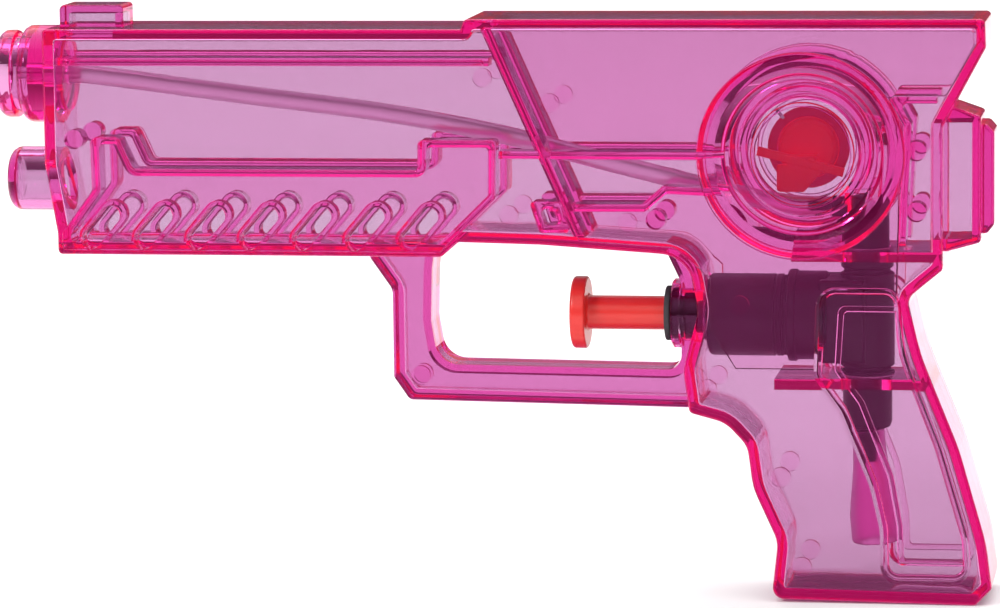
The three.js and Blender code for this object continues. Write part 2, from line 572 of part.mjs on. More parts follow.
const outletElbow = joined([
  turned(
    [[0, elbowZ0], [5.2, elbowZ0], [5.2, UPPER_RIB_Z[0]], [COLUMN_R, UPPER_RIB_Z[0]],
      [COLUMN_R, ELBOW_TOP_Z - 0.8], [COLUMN_R - 0.8, ELBOW_TOP_Z], [0, ELBOW_TOP_Z]],
    'Z', column, TURN_STEPS,
  ),
  rod('X', SPIGOT_R, SPIGOT_X0, COLUMN_X, [0, 0, SPIGOT_Z], 20),
  rod('X', BARB_R, BARB_X0, SPIGOT_X0, [0, 0, SPIGOT_Z], 16),
])
  .subtract(rod('Z', BALL_CAGE_R, 30, VALVE_TOP_Z + 2 * BALL_R + BALL_LIFT, column, 24))
  .subtract(rod('Z', PASSAGE_R, 30, SPIGOT_Z + 0.6, column, 16))
  .subtract(rod('X', 0.6, -20, COLUMN_X, [0, 0, SPIGOT_Z], 12));
const inletGasket = turned(
  [[BALL_CAGE_R + 0.2, VALVE_BOTTOM_Z - GASKET_T], [4.6, VALVE_BOTTOM_Z - GASKET_T], [4.6, VALVE_BOTTOM_Z],
    [BALL_CAGE_R + 0.2, VALVE_BOTTOM_Z]],
  'Z', column, TURN_STEPS,
);
const capTop = VALVE_BOTTOM_Z - GASKET_T;
const inletSeatZ = VALVE_BOTTOM_Z - 2 * BALL_R - BALL_LIFT;
const inletCap = turned(
  [
    [0, NIPPLE_END_Z], [NIPPLE_R - 0.5, NIPPLE_END_Z], [NIPPLE_R, CAP_BOTTOM_Z],
    [CAP_R - 1.2, CAP_BOTTOM_Z], [CAP_R, CAP_BOTTOM_Z + 1.4], [CAP_R, LOWER_RIB_Z[1]],
    [5.4, LOWER_RIB_Z[1]], [5.4, capTop], [0, capTop],
  ],
  'Z', column, TURN_STEPS,
)
  .subtract(rod('Z', BALL_CAGE_R, inletSeatZ, 30, column, 24))
  .subtract(rod('Z', 1.1, -10, 30, column, 16));
// A ball rests a little above the edge of its seat's hole.
const ball = (z) => {
  const geometry = new THREE.SphereGeometry(BALL_R, 12, 8);
  geometry.translate(COLUMN_X, 0, z);
  return solid(geometry);
};
const inletBall = ball(inletSeatZ + BALL_R);
const outletBall = ball(VALVE_TOP_Z + BALL_R);

// Plunger, piston cup and spring
const plunger = turned(
  [
    [0, BUTTON_X0 + 0.8], [BUTTON_R - 2.4, BUTTON_X0 + 0.3], [BUTTON_R - 0.6, BUTTON_X0],
    [BUTTON_R, BUTTON_X0 + 0.6], [BUTTON_R, BUTTON_X0 + BUTTON_T - 0.5],
    [BUTTON_R - 0.5, BUTTON_X0 + BUTTON_T],
    [ROD_R + 0.7, BUTTON_X0 + BUTTON_T], [ROD_R, BUTTON_X0 + BUTTON_T + 0.7], [ROD_R, PISTON_X0],
    [PISTON_R, PISTON_X0], [PISTON_R, CUP_X0], [CUP_SEAT_R, CUP_X0], [CUP_SEAT_R, CUP_X0 + CUP_T],
    [PISTON_R, CUP_X0 + CUP_T], [PISTON_R, PISTON_X0 + PISTON_T], [0, PISTON_X0 + PISTON_T],
  ],
  'X', [0, 0, PUMP_Z], TURN_STEPS,
);
const pistonCup = turned(
  [[CUP_SEAT_R + 0.1, CUP_X0 + 0.05], [CUP_R - 0.2, CUP_X0 + 0.05], [CUP_R, CUP_X0 + CUP_T / 2],
    [CUP_R - 0.2, CUP_X0 + CUP_T - 0.05], [CUP_SEAT_R + 0.1, CUP_X0 + CUP_T - 0.05]],
  'X', [0, 0, PUMP_Z], TURN_STEPS,
);
const springX0 = PISTON_X0 + PISTON_T + SPRING_WIRE_R + 0.02;
const springX1 = CHAMBER_END_X - SPRING_WIRE_R - 0.02;
class Coil extends THREE.Curve {
  getPoint(t, target = new THREE.Vector3()) {
    const a = 2 * Math.PI * SPRING_COILS * t;
    const x = springX0 + (springX1 - springX0) * t;
    return target.set(x, SPRING_R * Math.cos(a), PUMP_Z + SPRING_R * Math.sin(a));
  }
}
const wireSection = new THREE.Shape();
for (let k = 0; k < 5; k += 1) {
  const a = (2 * Math.PI * k) / 5;
  wireSection[k === 0 ? 'moveTo' : 'lineTo'](SPRING_WIRE_R * Math.cos(a), SPRING_WIRE_R * Math.sin(a));
}
const coil = new Coil();
const returnSpring = solid(new THREE.ExtrudeGeometry(wireSection, {
  steps: Math.round(SPRING_COILS * 8),
  extrudePath: coil,
  curveSegments: 5,
}));
// Least distance between neighbouring turns, measured on points of the centre line.
const turns = Array.from({ length: 241 }, (_, k) => coil.getPoint(k / 240));
let springGap = Infinity;
turns.forEach((p, i) => turns.forEach((q, j) => {
  if (j - i > 20) {
    springGap = Math.min(springGap, p.distanceTo(q) - 2 * SPRING_WIRE_R);
  }
}));
console.log(`return spring: least gap between turns ${springGap.toFixed(2)} mm`);

// Tubes and nozzle
const tubeRoute = new THREE.CatmullRomCurve3([
  new THREE.Vector3(JET_END_X + 0.1, 0, MUZZLE_Z), new THREE.Vector3(JET_END_X + 2.8, 0, MUZZLE_Z),
  new THREE.Vector3(-149.0, 0, 78.3), new THREE.Vector3(-123.5, 0, 75.0),
  new THREE.Vector3(-96.0, 0, 71.6), new THREE.Vector3(-72.5, 0, 67.4), new THREE.Vector3(-52.3, 0, 62.3),
  new THREE.Vector3(-31.2, 0, 57.1), new THREE.Vector3(-16.2, 0, 53.9), new THREE.Vector3(-9.5, 0, SPIGOT_Z),
  new THREE.Vector3(SPIGOT_X0 - 0.1, 0, SPIGOT_Z),
]);
const tubeSection = new THREE.Shape().absarc(0, 0, TUBE_R, 0, 2 * Math.PI, false);
tubeSection.holes.push(new THREE.Path().absarc(0, 0, TUBE_BORE_R, 0, 2 * Math.PI, true));
const deliveryTube = solid(new THREE.ExtrudeGeometry(tubeSection, {
  steps: 22, extrudePath: tubeRoute, curveSegments: 5,
}));
const nozzleJet = turned(
  [
    [0.5, MOUTH_END_X - 2.4], [1.0, MOUTH_END_X - 2.4], [1.2, MOUTH_END_X - 1.6],
    [1.2, JET_SEAT_X], [JET_R, JET_SEAT_X],
    [JET_R, JET_END_X], [BARB_R, JET_END_X],
    [BARB_R, JET_END_X + JET_SPIGOT_T], [0.5, JET_END_X + JET_SPIGOT_T],
  ],
  'X', [0, 0, MUZZLE_Z], 24,
);
const dipGeometry = new THREE.LatheGeometry([
  [DIP_BORE_R, 0], [DIP_TOP_R, 0], [DIP_TOP_R, -4.0], [DIP_TOP_R + 0.7, -10.0], [DIP_FOOT_R, -17.0],
  [DIP_FOOT_R, -DIP_LENGTH + 0.8], [DIP_FOOT_R - 0.8, -DIP_LENGTH], [DIP_FOOT_R - 1.0, -DIP_LENGTH],
  [DIP_FOOT_R - 1.0, -17.0], [DIP_TOP_R, -10.0], [DIP_BORE_R, -5.0], [DIP_BORE_R, 0],
].map(([r, y]) => new THREE.Vector2(r, y)), TURN_STEPS);
dipGeometry.rotateX(Math.PI / 2);
dipGeometry.rotateY(-DIP_LEAN);
dipGeometry.translate(COLUMN_X + 0.05, 0, DIP_TOP_Z);
const dipTube = solid(dipGeometry);

// Stopper: head and pull tab outside, plug in the hole, stem and anchor inside.
const fillerAt = [RING_X, 0, RING_Z];
const headY = DISH_FLOOR_HALF;
const anchorBar = new THREE.BoxGeometry(17.6, ANCHOR_Y[1] - ANCHOR_Y[0], 1.7);
anchorBar.rotateY(THREE.MathUtils.degToRad(13.9));
anchorBar.translate(-11.9, (ANCHOR_Y[0] + ANCHOR_Y[1]) / 2, 62.2);
const tongue = [[-16.6, 61.6], [-16.6, 56.6], [-16.0, 56.2], [-11.2, 56.2], [-7.4, 60.4], [-8.0, 62.0]];
const fillerStopper = joined([
  turned(
    [
      [0, STOPPER_PLUG_END], [STOPPER_PLUG_R - 0.9, STOPPER_PLUG_END],
      [STOPPER_PLUG_R, STOPPER_PLUG_END + 1.2],
      [STOPPER_PLUG_R, headY], [STOPPER_HEAD_R, headY], [STOPPER_HEAD_R, headY + STOPPER_HEAD_T - 0.5],
      [STOPPER_HEAD_R - 0.5, headY + STOPPER_HEAD_T], [0, headY + STOPPER_HEAD_T],
    ],
    'Y', fillerAt, 32,
  ),
  prism(
    rounded([[-16.0, 63.1, 1], [-6.0, 63.1, 1], [-6.0, 65.5, 1], [-16.0, 65.5, 1]]), headY + 1, 12.4, 0.4,
  ),
  prism(tongue, ...ANCHOR_Y),
  solid(anchorBar),
  block(-14.6, -8.8, ANCHOR_Y[0], STOPPER_PLUG_END + 0.5, 60.6, 63.2),
]);

// Materials and nodes
const plastic = (color, roughness = 0.4) => (
  new THREE.MeshStandardMaterial({ color, roughness, metalness: 0 })
);
const clearPink = new THREE.MeshStandardMaterial({
  color: 0xd8409a, roughness: 0.15, metalness: 0, transparent: true, opacity: 0.55,
});
const black = plastic(0x17151a, 0.45);
const rubber = plastic(0x101012, 0.8);
const red = plastic(0xe02424, 0.35);
const clear = plastic(0xe6dfe8, 0.2);
const steel = new THREE.MeshStandardMaterial({ color: 0xb9bcc0, roughness: 0.3, metalness: 1 });

const squirter = new THREE.Group();
squirter.name = 'water_squirter';
function addNode(name, manifold, material) {
  const mesh = manifold.getMesh();
  const positions = new Float32Array(mesh.numVert * 3);
  for (let v = 0; v < mesh.numVert; v += 1) {
    positions.set(mesh.vertProperties.subarray(v * mesh.numProp, v * mesh.numProp + 3), v * 3);
  }
  const geometry = new THREE.BufferGeometry();
  geometry.setAttribute('position', new THREE.BufferAttribute(positions, 3));
  geometry.setIndex(new THREE.BufferAttribute(Uint32Array.from(mesh.triVerts), 1));
  geometry.computeVertexNormals();
  const node = new THREE.Mesh(geometry, material);
  node.name = name;
  squirter.add(node);
}

addNode('left_shell', halfShell(-1), clearPink);
addNode('right_shell', halfShell(1), clearPink);
addNode('nozzle_jet', nozzleJet, clear);
addNode('delivery_tube', deliveryTube, clear);
addNode('dip_tube', dipTube, clear);
addNode('pump_barrel', pumpBarrel, black);
addNode('gland_ring', glandRing, black);
addNode('rod_seal', rodSeal, rubber);
addNode('barrel_gasket', barrelGasket, rubber);
addNode('valve_body', valveBody, black);
addNode('outlet_gasket', outletGasket, rubber);
addNode('outlet_elbow', outletElbow, black);
addNode('inlet_gasket', inletGasket, rubber);
addNode('inlet_cap', inletCap, black);
addNode('inlet_ball', inletBall, steel);
addNode('outlet_ball', outletBall, steel);
addNode('plunger', plunger, red);
addNode('piston_cup', pistonCup, rubber);
addNode('return_spring', returnSpring, steel);
addNode('filler_stopper', fillerStopper, red);

export default squirter;
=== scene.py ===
# %% [markdown]
# A see-through water squirter, built as separate pieces on a fixed frame of solids. Two half shells of
# clear pink plastic close round a small plunger pump, so nearly every piece inside is seen through two or
# more walls. The looks come from real wall thicknesses: light that crosses a wall straight on stays pale,
# and light that runs along a wall comes out deep magenta. That is why the shells are modelled as true
# hollow mouldings.

import math

import bmesh
import bpy
import numpy as np
from mathutils import Matrix, Vector
from mathutils.geometry import delaunay_2d_cdt


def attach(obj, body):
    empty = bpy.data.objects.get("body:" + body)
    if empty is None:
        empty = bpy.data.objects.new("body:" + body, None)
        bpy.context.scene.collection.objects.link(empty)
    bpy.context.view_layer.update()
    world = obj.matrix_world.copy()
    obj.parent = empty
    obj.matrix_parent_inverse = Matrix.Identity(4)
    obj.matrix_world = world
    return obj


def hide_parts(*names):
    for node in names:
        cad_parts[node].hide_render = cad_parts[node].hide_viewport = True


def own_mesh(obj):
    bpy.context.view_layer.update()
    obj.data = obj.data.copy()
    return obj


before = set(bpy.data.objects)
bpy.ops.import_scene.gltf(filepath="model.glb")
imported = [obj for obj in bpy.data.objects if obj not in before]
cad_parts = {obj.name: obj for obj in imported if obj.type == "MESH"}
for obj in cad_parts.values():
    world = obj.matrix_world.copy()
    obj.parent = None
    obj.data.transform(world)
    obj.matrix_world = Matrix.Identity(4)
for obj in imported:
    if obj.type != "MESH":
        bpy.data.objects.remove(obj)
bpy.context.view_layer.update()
MM = 0.001

# %% [markdown]
# The camera comes first. Straight lines of the object that are level in reality fix the height, the turn
# and the lens: a long lens, a little above the muzzle line, turned a few degrees towards the back of the
# toy.

# %% Camera
AZIMUTH = math.radians(9.27)
ELEVATION = math.radians(7.98)
ROLL = math.radians(-0.75)
FOCAL_PX = 4670.0
PICTURE_WIDTH_PX = 1000.0
SENSOR_MM = 36.0
CAMERA_AT = np.array([77.2, -919.8, 163.5])


def camera_axes():
    """Right, up and back of the camera: level axes from the azimuth and elevation, then turned by the
    roll."""
    level_right = np.array([math.cos(AZIMUTH), math.sin(AZIMUTH), 0.0])
    flat = math.cos(ELEVATION)
    back = np.array([math.sin(AZIMUTH) * flat, -math.cos(AZIMUTH) * flat, math.sin(ELEVATION)])
    level_up = np.cross(back, level_right)
    right = math.cos(ROLL) * level_right + math.sin(ROLL) * level_up
    up = -math.sin(ROLL) * level_right + math.cos(ROLL) * level_up
    return right, up, back


camera_data = bpy.data.cameras.new("camera")
camera_data.sensor_width = SENSOR_MM
camera_data.sensor_fit = "HORIZONTAL"
camera_data.lens = FOCAL_PX / PICTURE_WIDTH_PX * SENSOR_MM
camera_data.clip_start = 0.01
camera_data.clip_end = 50.0
camera = bpy.data.objects.new("camera", camera_data)
pose = np.eye(4)
pose[:3, 0], pose[:3, 1], pose[:3, 2] = camera_axes()
pose[:3, 3] = CAMERA_AT * MM
camera.matrix_world = Matrix(pose.tolist())
bpy.context.scene.collection.objects.link(camera)
bpy.context.scene.camera = camera
print("lens", round(camera_data.lens, 1), "mm")

# %% [markdown]
# Outlines are written as corners with a radius, as on a drawing. A corner becomes a short smooth curve that
# starts and ends on the two sides. The same corners, moved inwards by the wall thickness, give the hollow.

# %% Outlines
# The curve step is the angle between neighbouring points of an arc, in radians.
CURVE_STEP = 0.16
LONGEST_CUT = 0.48
SHORTEST_CUT = 0.05
LEAST_INNER_R = 0.8


def rounded(corners):
    """Outline from corners (x, z, radius). Each corner is an arc that touches its sides at radius / tan(half
    angle) from the corner, kept within 0.48 of the shorter side, round a centre on the line that halves the
    angle."""
    table = np.array(corners, float)
    here = table[:, :2]
    back = np.roll(here, 1, axis=0) - here
    ahead = np.roll(here, -1, axis=0) - here
    back_length = np.linalg.norm(back, axis=1)
    ahead_length = np.linalg.norm(ahead, axis=1)
    back /= back_length[:, None]
    ahead /= ahead_length[:, None]
    half = np.arccos(np.clip((back * ahead).sum(axis=1), -1, 1)) / 2
    cut = np.minimum(table[:, 2] / np.tan(half), LONGEST_CUT * np.minimum(back_length, ahead_length))
    pieces = []
    for k, length in enumerate(cut):
        if length < SHORTEST_CUT:
            pieces.append(here[k : k + 1])
            continue
        count = max(2, round((math.pi - 2 * half[k]) / CURVE_STEP))
        middle = (back[k] + ahead[k]) / np.linalg.norm(back[k] + ahead[k])
        centre = here[k] + middle * length / math.cos(half[k])
        start = here[k] + back[k] * length - centre
        turn = math.copysign(math.pi - 2 * half[k], ahead[k][1] * back[k][0] - ahead[k][0] * back[k][1])
        a = turn * np.linspace(0, -1, count + 1)
        turned = np.column_stack(
            [start[0] * np.cos(a) - start[1] * np.sin(a), start[0] * np.sin(a) + start[1] * np.cos(a)],
        )
        pieces.append(centre + turned)
    return np.concatenate(pieces)


def inset(corners, distance):
    """Moves every side of a counter-clockwise list of corners inwards: each corner goes along its mitre."""
    table = np.array(corners, float)
    moved = mitred(table[:, :2], distance)
    a, b = side_directions(table[:, :2])
    turn = a[:, 0] * b[:, 1] - a[:, 1] * b[:, 0]
    radius = np.where(turn > 0, np.maximum(table[:, 2] - distance, LEAST_INNER_R), table[:, 2] + distance)
    return np.column_stack([moved, radius])


def side_directions(points):
    """Unit directions of the side before and the side after each point."""
    before = points - np.roll(points, 1, axis=0)
    after = np.roll(points, -1, axis=0) - points
    before = before / np.linalg.norm(before, axis=1)[:, None]
    after = after / np.linalg.norm(after, axis=1)[:, None]
    return before, after


def mitred(points, distance):
    """Each point moves by distance / (1 + cos of the turn) times the sum of its two inward normals."""
    a, b = side_directions(points)
    normal_sum = np.column_stack([-a[:, 1] - b[:, 1], a[:, 0] + b[:, 0]])
    return points + normal_sum * (distance / (1 + (a * b).sum(axis=1)))[:, None]


def pill(x0, z0, x1, z1, radius, steps=18):
    """Outline of a slot: two half circles round its end centres, joined by straight sides."""
    lean = math.atan2(z1 - z0, x1 - x0)
    swing = np.linspace(-math.pi / 2, math.pi / 2, steps + 1)
    far_end = np.column_stack([x1 + radius * np.cos(lean + swing), z1 + radius * np.sin(lean + swing)])
    near_end = np.column_stack([x0 - radius * np.cos(lean + swing), z0 - radius * np.sin(lean + swing)])
    return np.concatenate([far_end, near_end])


def rectangle(x0, x1, z0, z1):
    """Counter-clockwise corners of a rectangle in X and Z."""
    return np.array([[x0, z0], [x1, z0], [x1, z1], [x0, z1]])


test_square = [(0, 0, 2), (20, 0, 2), (20, 20, 2), (0, 20, 2)]
print("a 20 mm square with 2 mm corners has", len(rounded(test_square)), "points")

# %% [markdown]
# Two ways of sweeping a profile make almost everything here. A prism carries an outline along Y, over a
# rounded edge. A lathe turns a profile about an axis. Both are whole grids of points worked out at once.
# Their sizes are in millimetres until a finished piece is scaled to metres.

# %% Prism, lathe and tube
ROUND_STEPS = 96
FINE_ROUND_STEPS = 128
MIDDLE_ROUND_STEPS = 64
SMALL_ROUND_STEPS = 48
TINY_ROUND_STEPS = 32
EDGE_STEPS = 5
SMALL_EDGE_STEPS = 4
LATTICE = 6.0
LATTICE_MARGIN = 0.3 * LATTICE
SHORTEST_SIDE = 0.02
MERGE_DISTANCE = 1e-7
# The sink of a moulded face in mm, and its waves as radians per mm and a phase
SINK = 0.012
SINK_WAVE_X = (0.37, 0.6)
SINK_WAVE_Z = (0.41, 0.2)


def mesh_of(points, faces):
    """A mesh from points and faces, with its normals turned outwards."""
    mesh = bpy.data.meshes.new("work")
    mesh.from_pydata(points.tolist(), [], faces)
    shape = bmesh.new()
    shape.from_mesh(mesh)
    bmesh.ops.recalc_face_normals(shape, faces=shape.faces)
    shape.to_mesh(mesh)
    shape.free()
    return mesh


def grid_faces(rows, columns, closed_rows=False):
    """Quads between neighbouring rows of a grid whose columns run round."""
    row = np.arange(rows if closed_rows else rows - 1)[:, None]
    column = np.arange(columns)[None, :]
    after = (column + 1) % columns
    low = row * columns
    high = ((row + 1) % rows) * columns
    quads = np.stack([low + column, low + after, high + after, high + column], axis=-1)
    return quads.reshape(-1, 4).tolist()


def edge_section(y_in, y_out, edge, steps=EDGE_STEPS):
    """Straight from y_in, then a quarter circle of radius edge into the face at y_out, as (inset, y)
    pairs."""
    away = math.copysign(1.0, y_out - y_in)
    a = np.linspace(0, math.pi / 2, steps + 1)
    return [(0.0, y_in)] + list(zip(edge * (1 - np.cos(a)), y_out - away * edge * (1 - np.sin(a))))


def within(points, outline, margin):
    """True for points inside an outline and at least margin from it: an odd number of sides lie to the
    right of the point, and its distance to every side is large enough."""
    a = outline[None, :, :]
    b = np.roll(outline, -1, axis=0)[None, :, :]
    p = points[:, None, :]
    spans = (a[..., 1] > p[..., 1]) != (b[..., 1] > p[..., 1])
    rise = np.where(b[..., 1] == a[..., 1], 1.0, b[..., 1] - a[..., 1])
    crossing = a[..., 0] + (p[..., 1] - a[..., 1]) * (b[..., 0] - a[..., 0]) / rise
    odd = (spans & (crossing > p[..., 0])).sum(axis=1) % 2 == 1
    side = b - a
    share = np.clip(((p - a) * side).sum(axis=-1) / (side**2).sum(axis=-1), 0, 1)
    distance = np.linalg.norm(p - (a + share[..., None] * side), axis=-1).min(axis=1)
    return odd & (distance > margin)


def cap(outline):
    """Fills an outline with triangles over a 6 mm lattice of inner points. Returns the inner points and the
    faces, which count the outline's points first."""
    low = outline.min(axis=0)
    high = outline.max(axis=0)
    x, z = np.meshgrid(np.arange(low[0], high[0], LATTICE), np.arange(low[1], high[1], LATTICE))
    x = x + 0.5 * LATTICE * (np.arange(len(x)) % 2)[:, None]
    lattice = np.column_stack([x.ravel(), z.ravel()])
    inner = lattice[within(lattice, outline, LATTICE_MARGIN)]
    count = len(outline)
    sides = [(k, (k + 1) % count) for k in range(count)]
    flat = [Vector(point) for point in np.concatenate([outline, inner]).tolist()]
    filled = delaunay_2d_cdt(flat, sides, [], 1, MERGE_DISTANCE)
    if len(filled[0]) != len(flat):
        raise ValueError(f"outline of {count} points near {outline.mean(axis=0)} crosses itself")
    source = np.array([origin[0] for origin in filled[3]])
    faces = source[np.array(filled[2])]
    middle = np.concatenate([outline, inner])[faces].mean(axis=1)
    return inner, faces[within(middle, outline, 0.0)]


def prism(outline, section):
    """The outline at each level of the section, moved inwards by its inset, joined ring to ring and capped.
    A cap sinks by about a hundredth of a millimetre in soft waves, as a moulded face does when it cools."""
    gaps = np.linalg.norm(np.roll(outline, -1, axis=0) - outline, axis=1)
    outline = outline[gaps > SHORTEST_SIDE]
    rings = [(mitred(outline, depth), y) for depth, y in section]
    count = len(outline)
    points = [np.column_stack([ring[:, 0], np.full(count, y), ring[:, 1]]) for ring, y in rings]
    faces = grid_faces(len(rings), count)
    total = count * len(rings)
    for start, (ring, y) in ((0, rings[0]), (total - count, rings[-1])):
        inner, triangles = cap(ring)
        wave_x = np.sin(SINK_WAVE_X[0] * inner[:, 0] + SINK_WAVE_X[1])
        wave_z = np.cos(SINK_WAVE_Z[0] * inner[:, 1] + SINK_WAVE_Z[1])
        points.append(np.column_stack([inner[:, 0], y + SINK * wave_x * wave_z, inner[:, 1]]))
        faces += np.where(triangles < count, triangles + start, triangles - count + total).tolist()
        total += len(inner)
    return mesh_of(np.concatenate(points), faces)


def block(x0, x1, y0, y1, z0, z1):
    """A box between two levels on each axis."""
    return prism(rectangle(x0, x1, z0, z1), [(0.0, y0), (0.0, y1)])


def lathe(profile, axis, at, steps=ROUND_STEPS):
    """Turns (radius, along) pairs about an axis. A point at radius 0 is a pole; otherwise the profile
    closes."""
    table = np.array(profile, float)
    angle = 2 * math.pi * np.arange(steps) / steps
    solid_rows = table[table[:, 0] > 0]
    u = solid_rows[:, :1] * np.cos(angle)
    v = solid_rows[:, :1] * np.sin(angle)
    along = np.repeat(solid_rows[:, 1:], steps, axis=1)
    order = {"X": (along, u, v), "Y": (u, along, v), "Z": (u, v, along)}[axis]
    points = np.stack(order, axis=-1).reshape(-1, 3)
    ring = bool((table[:, 0] > 0).all())
    faces = grid_faces(len(solid_rows), steps, closed_rows=ring)
    if not ring:
        poles = []
        for row, level in ((0, table[0, 1]), (len(solid_rows) - 1, table[-1, 1])):
            tip = len(points) + len(poles)
            poles.append({"X": (level, 0, 0), "Y": (0, level, 0), "Z": (0, 0, level)}[axis])
            start = row * steps + np.arange(steps)
            after = row * steps + (np.arange(steps) + 1) % steps
            faces += np.column_stack([np.full(steps, tip), start, after]).tolist()
        points = np.concatenate([points, np.array(poles, float)])
    return mesh_of(points + np.array(at, float), faces)


def rod(axis, radius, a0, a1, at, steps=ROUND_STEPS):
    """A plain turned cylinder, used for bores and posts."""
    return lathe([(0, a0), (radius, a0), (radius, a1), (0, a1)], axis, at, steps)


def tube(path, outer, inner, steps=24):
    """A round section carried along a path in the plane Y = 0: each ring lies across the path's direction.
    With an inner radius the wall turns back inside and closes at both ends."""
    along = np.gradient(path, axis=0)
    along /= np.linalg.norm(along, axis=1)[:, None]
    across = np.stack([np.zeros(len(path)), np.ones(len(path)), np.zeros(len(path))], axis=1)
    up = np.cross(along, across)
    angle = 2 * math.pi * np.arange(steps) / steps
    circle = np.cos(angle)[None, :, None] * across[:, None, :] + np.sin(angle)[None, :, None] * up[:, None, :]
    outside = path[:, None, :] + np.asarray(outer).reshape(-1, 1, 1) * circle
    inside = path[:, None, :] + np.asarray(inner).reshape(-1, 1, 1) * circle
    points = np.concatenate([outside, inside[::-1]]).reshape(-1, 3)
    return mesh_of(points, grid_faces(2 * len(path), steps, closed_rows=True))


def volume(mesh):
    """Volume of a closed mesh in its own units."""
    shape = bmesh.new()
    shape.from_mesh(mesh)
    amount = shape.calc_volume()
    shape.free()
    return amount


print("test lathe volume", round(volume(rod("X", 2, 0, 10, (0, 0, 0))), 2), "of", round(math.pi * 40, 2))

# %% [markdown]
# Mouldings are cut and joined with Blender's manifold Boolean. A chain of modifiers does all the steps in
# one evaluation, and the result is kept as a plain mesh. Working in millimetres keeps the solver well away
# from its smallest lengths.

# %% Joining and cutting
JOIN = "UNION"
CUT = "DIFFERENCE"
KEEP = "INTERSECT"


def carve(base, steps):
    """Runs (operation, mesh) steps on the base mesh, in order, and returns the mesh with many-sided faces
    cut up."""
    collection = bpy.context.scene.collection
    work = bpy.data.objects.new("work", base)
    collection.objects.link(work)
    tools = []
    for operation, mesh in steps:
        tool = bpy.data.objects.new("tool", mesh)
        collection.objects.link(tool)
        tools.append(tool)
        step = work.modifiers.new("step", "BOOLEAN")
        step.operation = operation
        step.solver = "MANIFOLD"
        step.object = tool
    bpy.context.view_layer.update()
    graph = bpy.context.evaluated_depsgraph_get()
    result = bpy.data.meshes.new_from_object(work.evaluated_get(graph))
    shape = bmesh.new()
    shape.from_mesh(result)
    bmesh.ops.triangulate(shape, faces=[face for face in shape.faces if len(face.verts) > 4])
    shape.to_mesh(result)
    shape.free()
    for helper in [work] + tools:
        mesh = helper.data
        bpy.data.objects.remove(helper)
        bpy.data.meshes.remove(mesh)
    return result


def joined(meshes):
    """All meshes as one body."""
    return carve(meshes[0], [(JOIN, mesh) for mesh in meshes[1:]])


SMOOTH_ANGLE = math.radians(27)
FLAT_FACE_WEIGHT = 80


def to_metres(mesh):
    """Scales a mesh from millimetres to metres."""
    points = np.empty(len(mesh.vertices) * 3, np.float32)
    mesh.vertices.foreach_get("co", points)
    mesh.vertices.foreach_set("co", points * MM)


def finish_piece(name, mesh, body, material, *nodes, weighted=True):
    """Scales a mesh to metres, smooths it by angle and puts it on its body in place of its nodes."""
    to_metres(mesh)
    mesh.polygons.foreach_set("use_smooth", np.ones(len(mesh.polygons), bool))
    mesh.set_sharp_from_angle(angle=SMOOTH_ANGLE)
    mesh.materials.clear()
    mesh.materials.append(material)
    mesh.name = name
    mesh.update()
    piece = bpy.data.objects.new(name, mesh)
    bpy.context.scene.collection.objects.link(piece)
    if weighted:
        normals = piece.modifiers.new("flat faces stay flat", "WEIGHTED_NORMAL")
        normals.keep_sharp = True
        normals.weight = FLAT_FACE_WEIGHT
    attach(piece, body)
    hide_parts(*nodes)
    triangles = sum(len(p.vertices) - 2 for p in mesh.polygons)
    print(name, triangles, "triangles")
    return piece


# %% [markdown]
# Materials. The shells are clear polystyrene with pink dye right through, so the colour belongs to the volume
# and not to the surface: a Volume Absorption takes green fastest and red hardly at all. One millimetre lets
# about 80 percent of green through, and the 24 millimetres along a wall less than one percent. A faint
# emission in the same volume is a painted glow: it adds pink light, the more the longer the way through the
# plastic, and that painted light gives the moulding its bright edges.

# %% Colours and nodes
PINK_DYE = "#FE3CDA"


def linear(hex_colour):
    """sRGB hex to linear light: values over 0.04045 go through ((c + 0.055) / 1.055) to the power 2.4."""
    c = np.array([int(hex_colour[k : k + 2], 16) for k in (1, 3, 5)]) / 255
    value = np.where(c <= 0.04045, c / 12.92, ((c + 0.055) / 1.055) ** 2.4)
    return (*value.tolist(), 1.0)


def add(tree, kind, values=None, links=None, **settings):
    """Adds one node: settings are its own properties, values go on its sockets and links join them to
    others."""
    new = tree.nodes.new(kind)
    for key, value in settings.items():
        setattr(new, key, value)
    for key, value in (values or {}).items():
        new.inputs[key].default_value = value
    for key, source in (links or {}).items():
        tree.links.new(source, new.inputs[key])
    return new


def start_material(name):
    """An empty material with its output node."""
    material = bpy.data.materials.new(name)
    material.use_nodes = True
    material.node_tree.nodes.clear()
    return material, material.node_tree, add(material.node_tree, "ShaderNodeOutputMaterial")


def per_metre(size_mm):
    """Texture scale whose features are about size_mm wide, for Object coordinates in metres."""
    return 1.0 / (size_mm * MM)


def noise(tree, size_mm, detail, roughness=0.5, mapping=None):
    """Noise with features about size_mm wide, in Object coordinates that a mapping may lean or stretch."""
    vector = add(tree, "ShaderNodeTexCoord").outputs["Object"]
    if mapping:
        vector = add(tree, "ShaderNodeMapping", mapping, {"Vector": vector}).outputs["Vector"]
    values = {"Scale": per_metre(size_mm), "Detail": detail, "Roughness": roughness}
    return add(tree, "ShaderNodeTexNoise", values, {"Vector": vector}).outputs["Fac"]


def ramp(tree, source, start, end):
    """A colour between two ends, each given as a position and a hex colour."""
    node = add(tree, "ShaderNodeValToRGB", links={"Fac": source})
    for element, (position, colour) in zip(node.color_ramp.elements, (start, end)):
        element.position = position
        element.color = linear(colour)
    return node.outputs["Color"]


def spread(tree, source, low, high, start=0.0, end=1.0):
    """Maps a texture from start and end to a setting between low and high."""
    values = {"From Min": start, "From Max": end, "To Min": low, "To Max": high}
    return add(tree, "ShaderNodeMapRange", values, {"Value": source}).outputs["Result"]


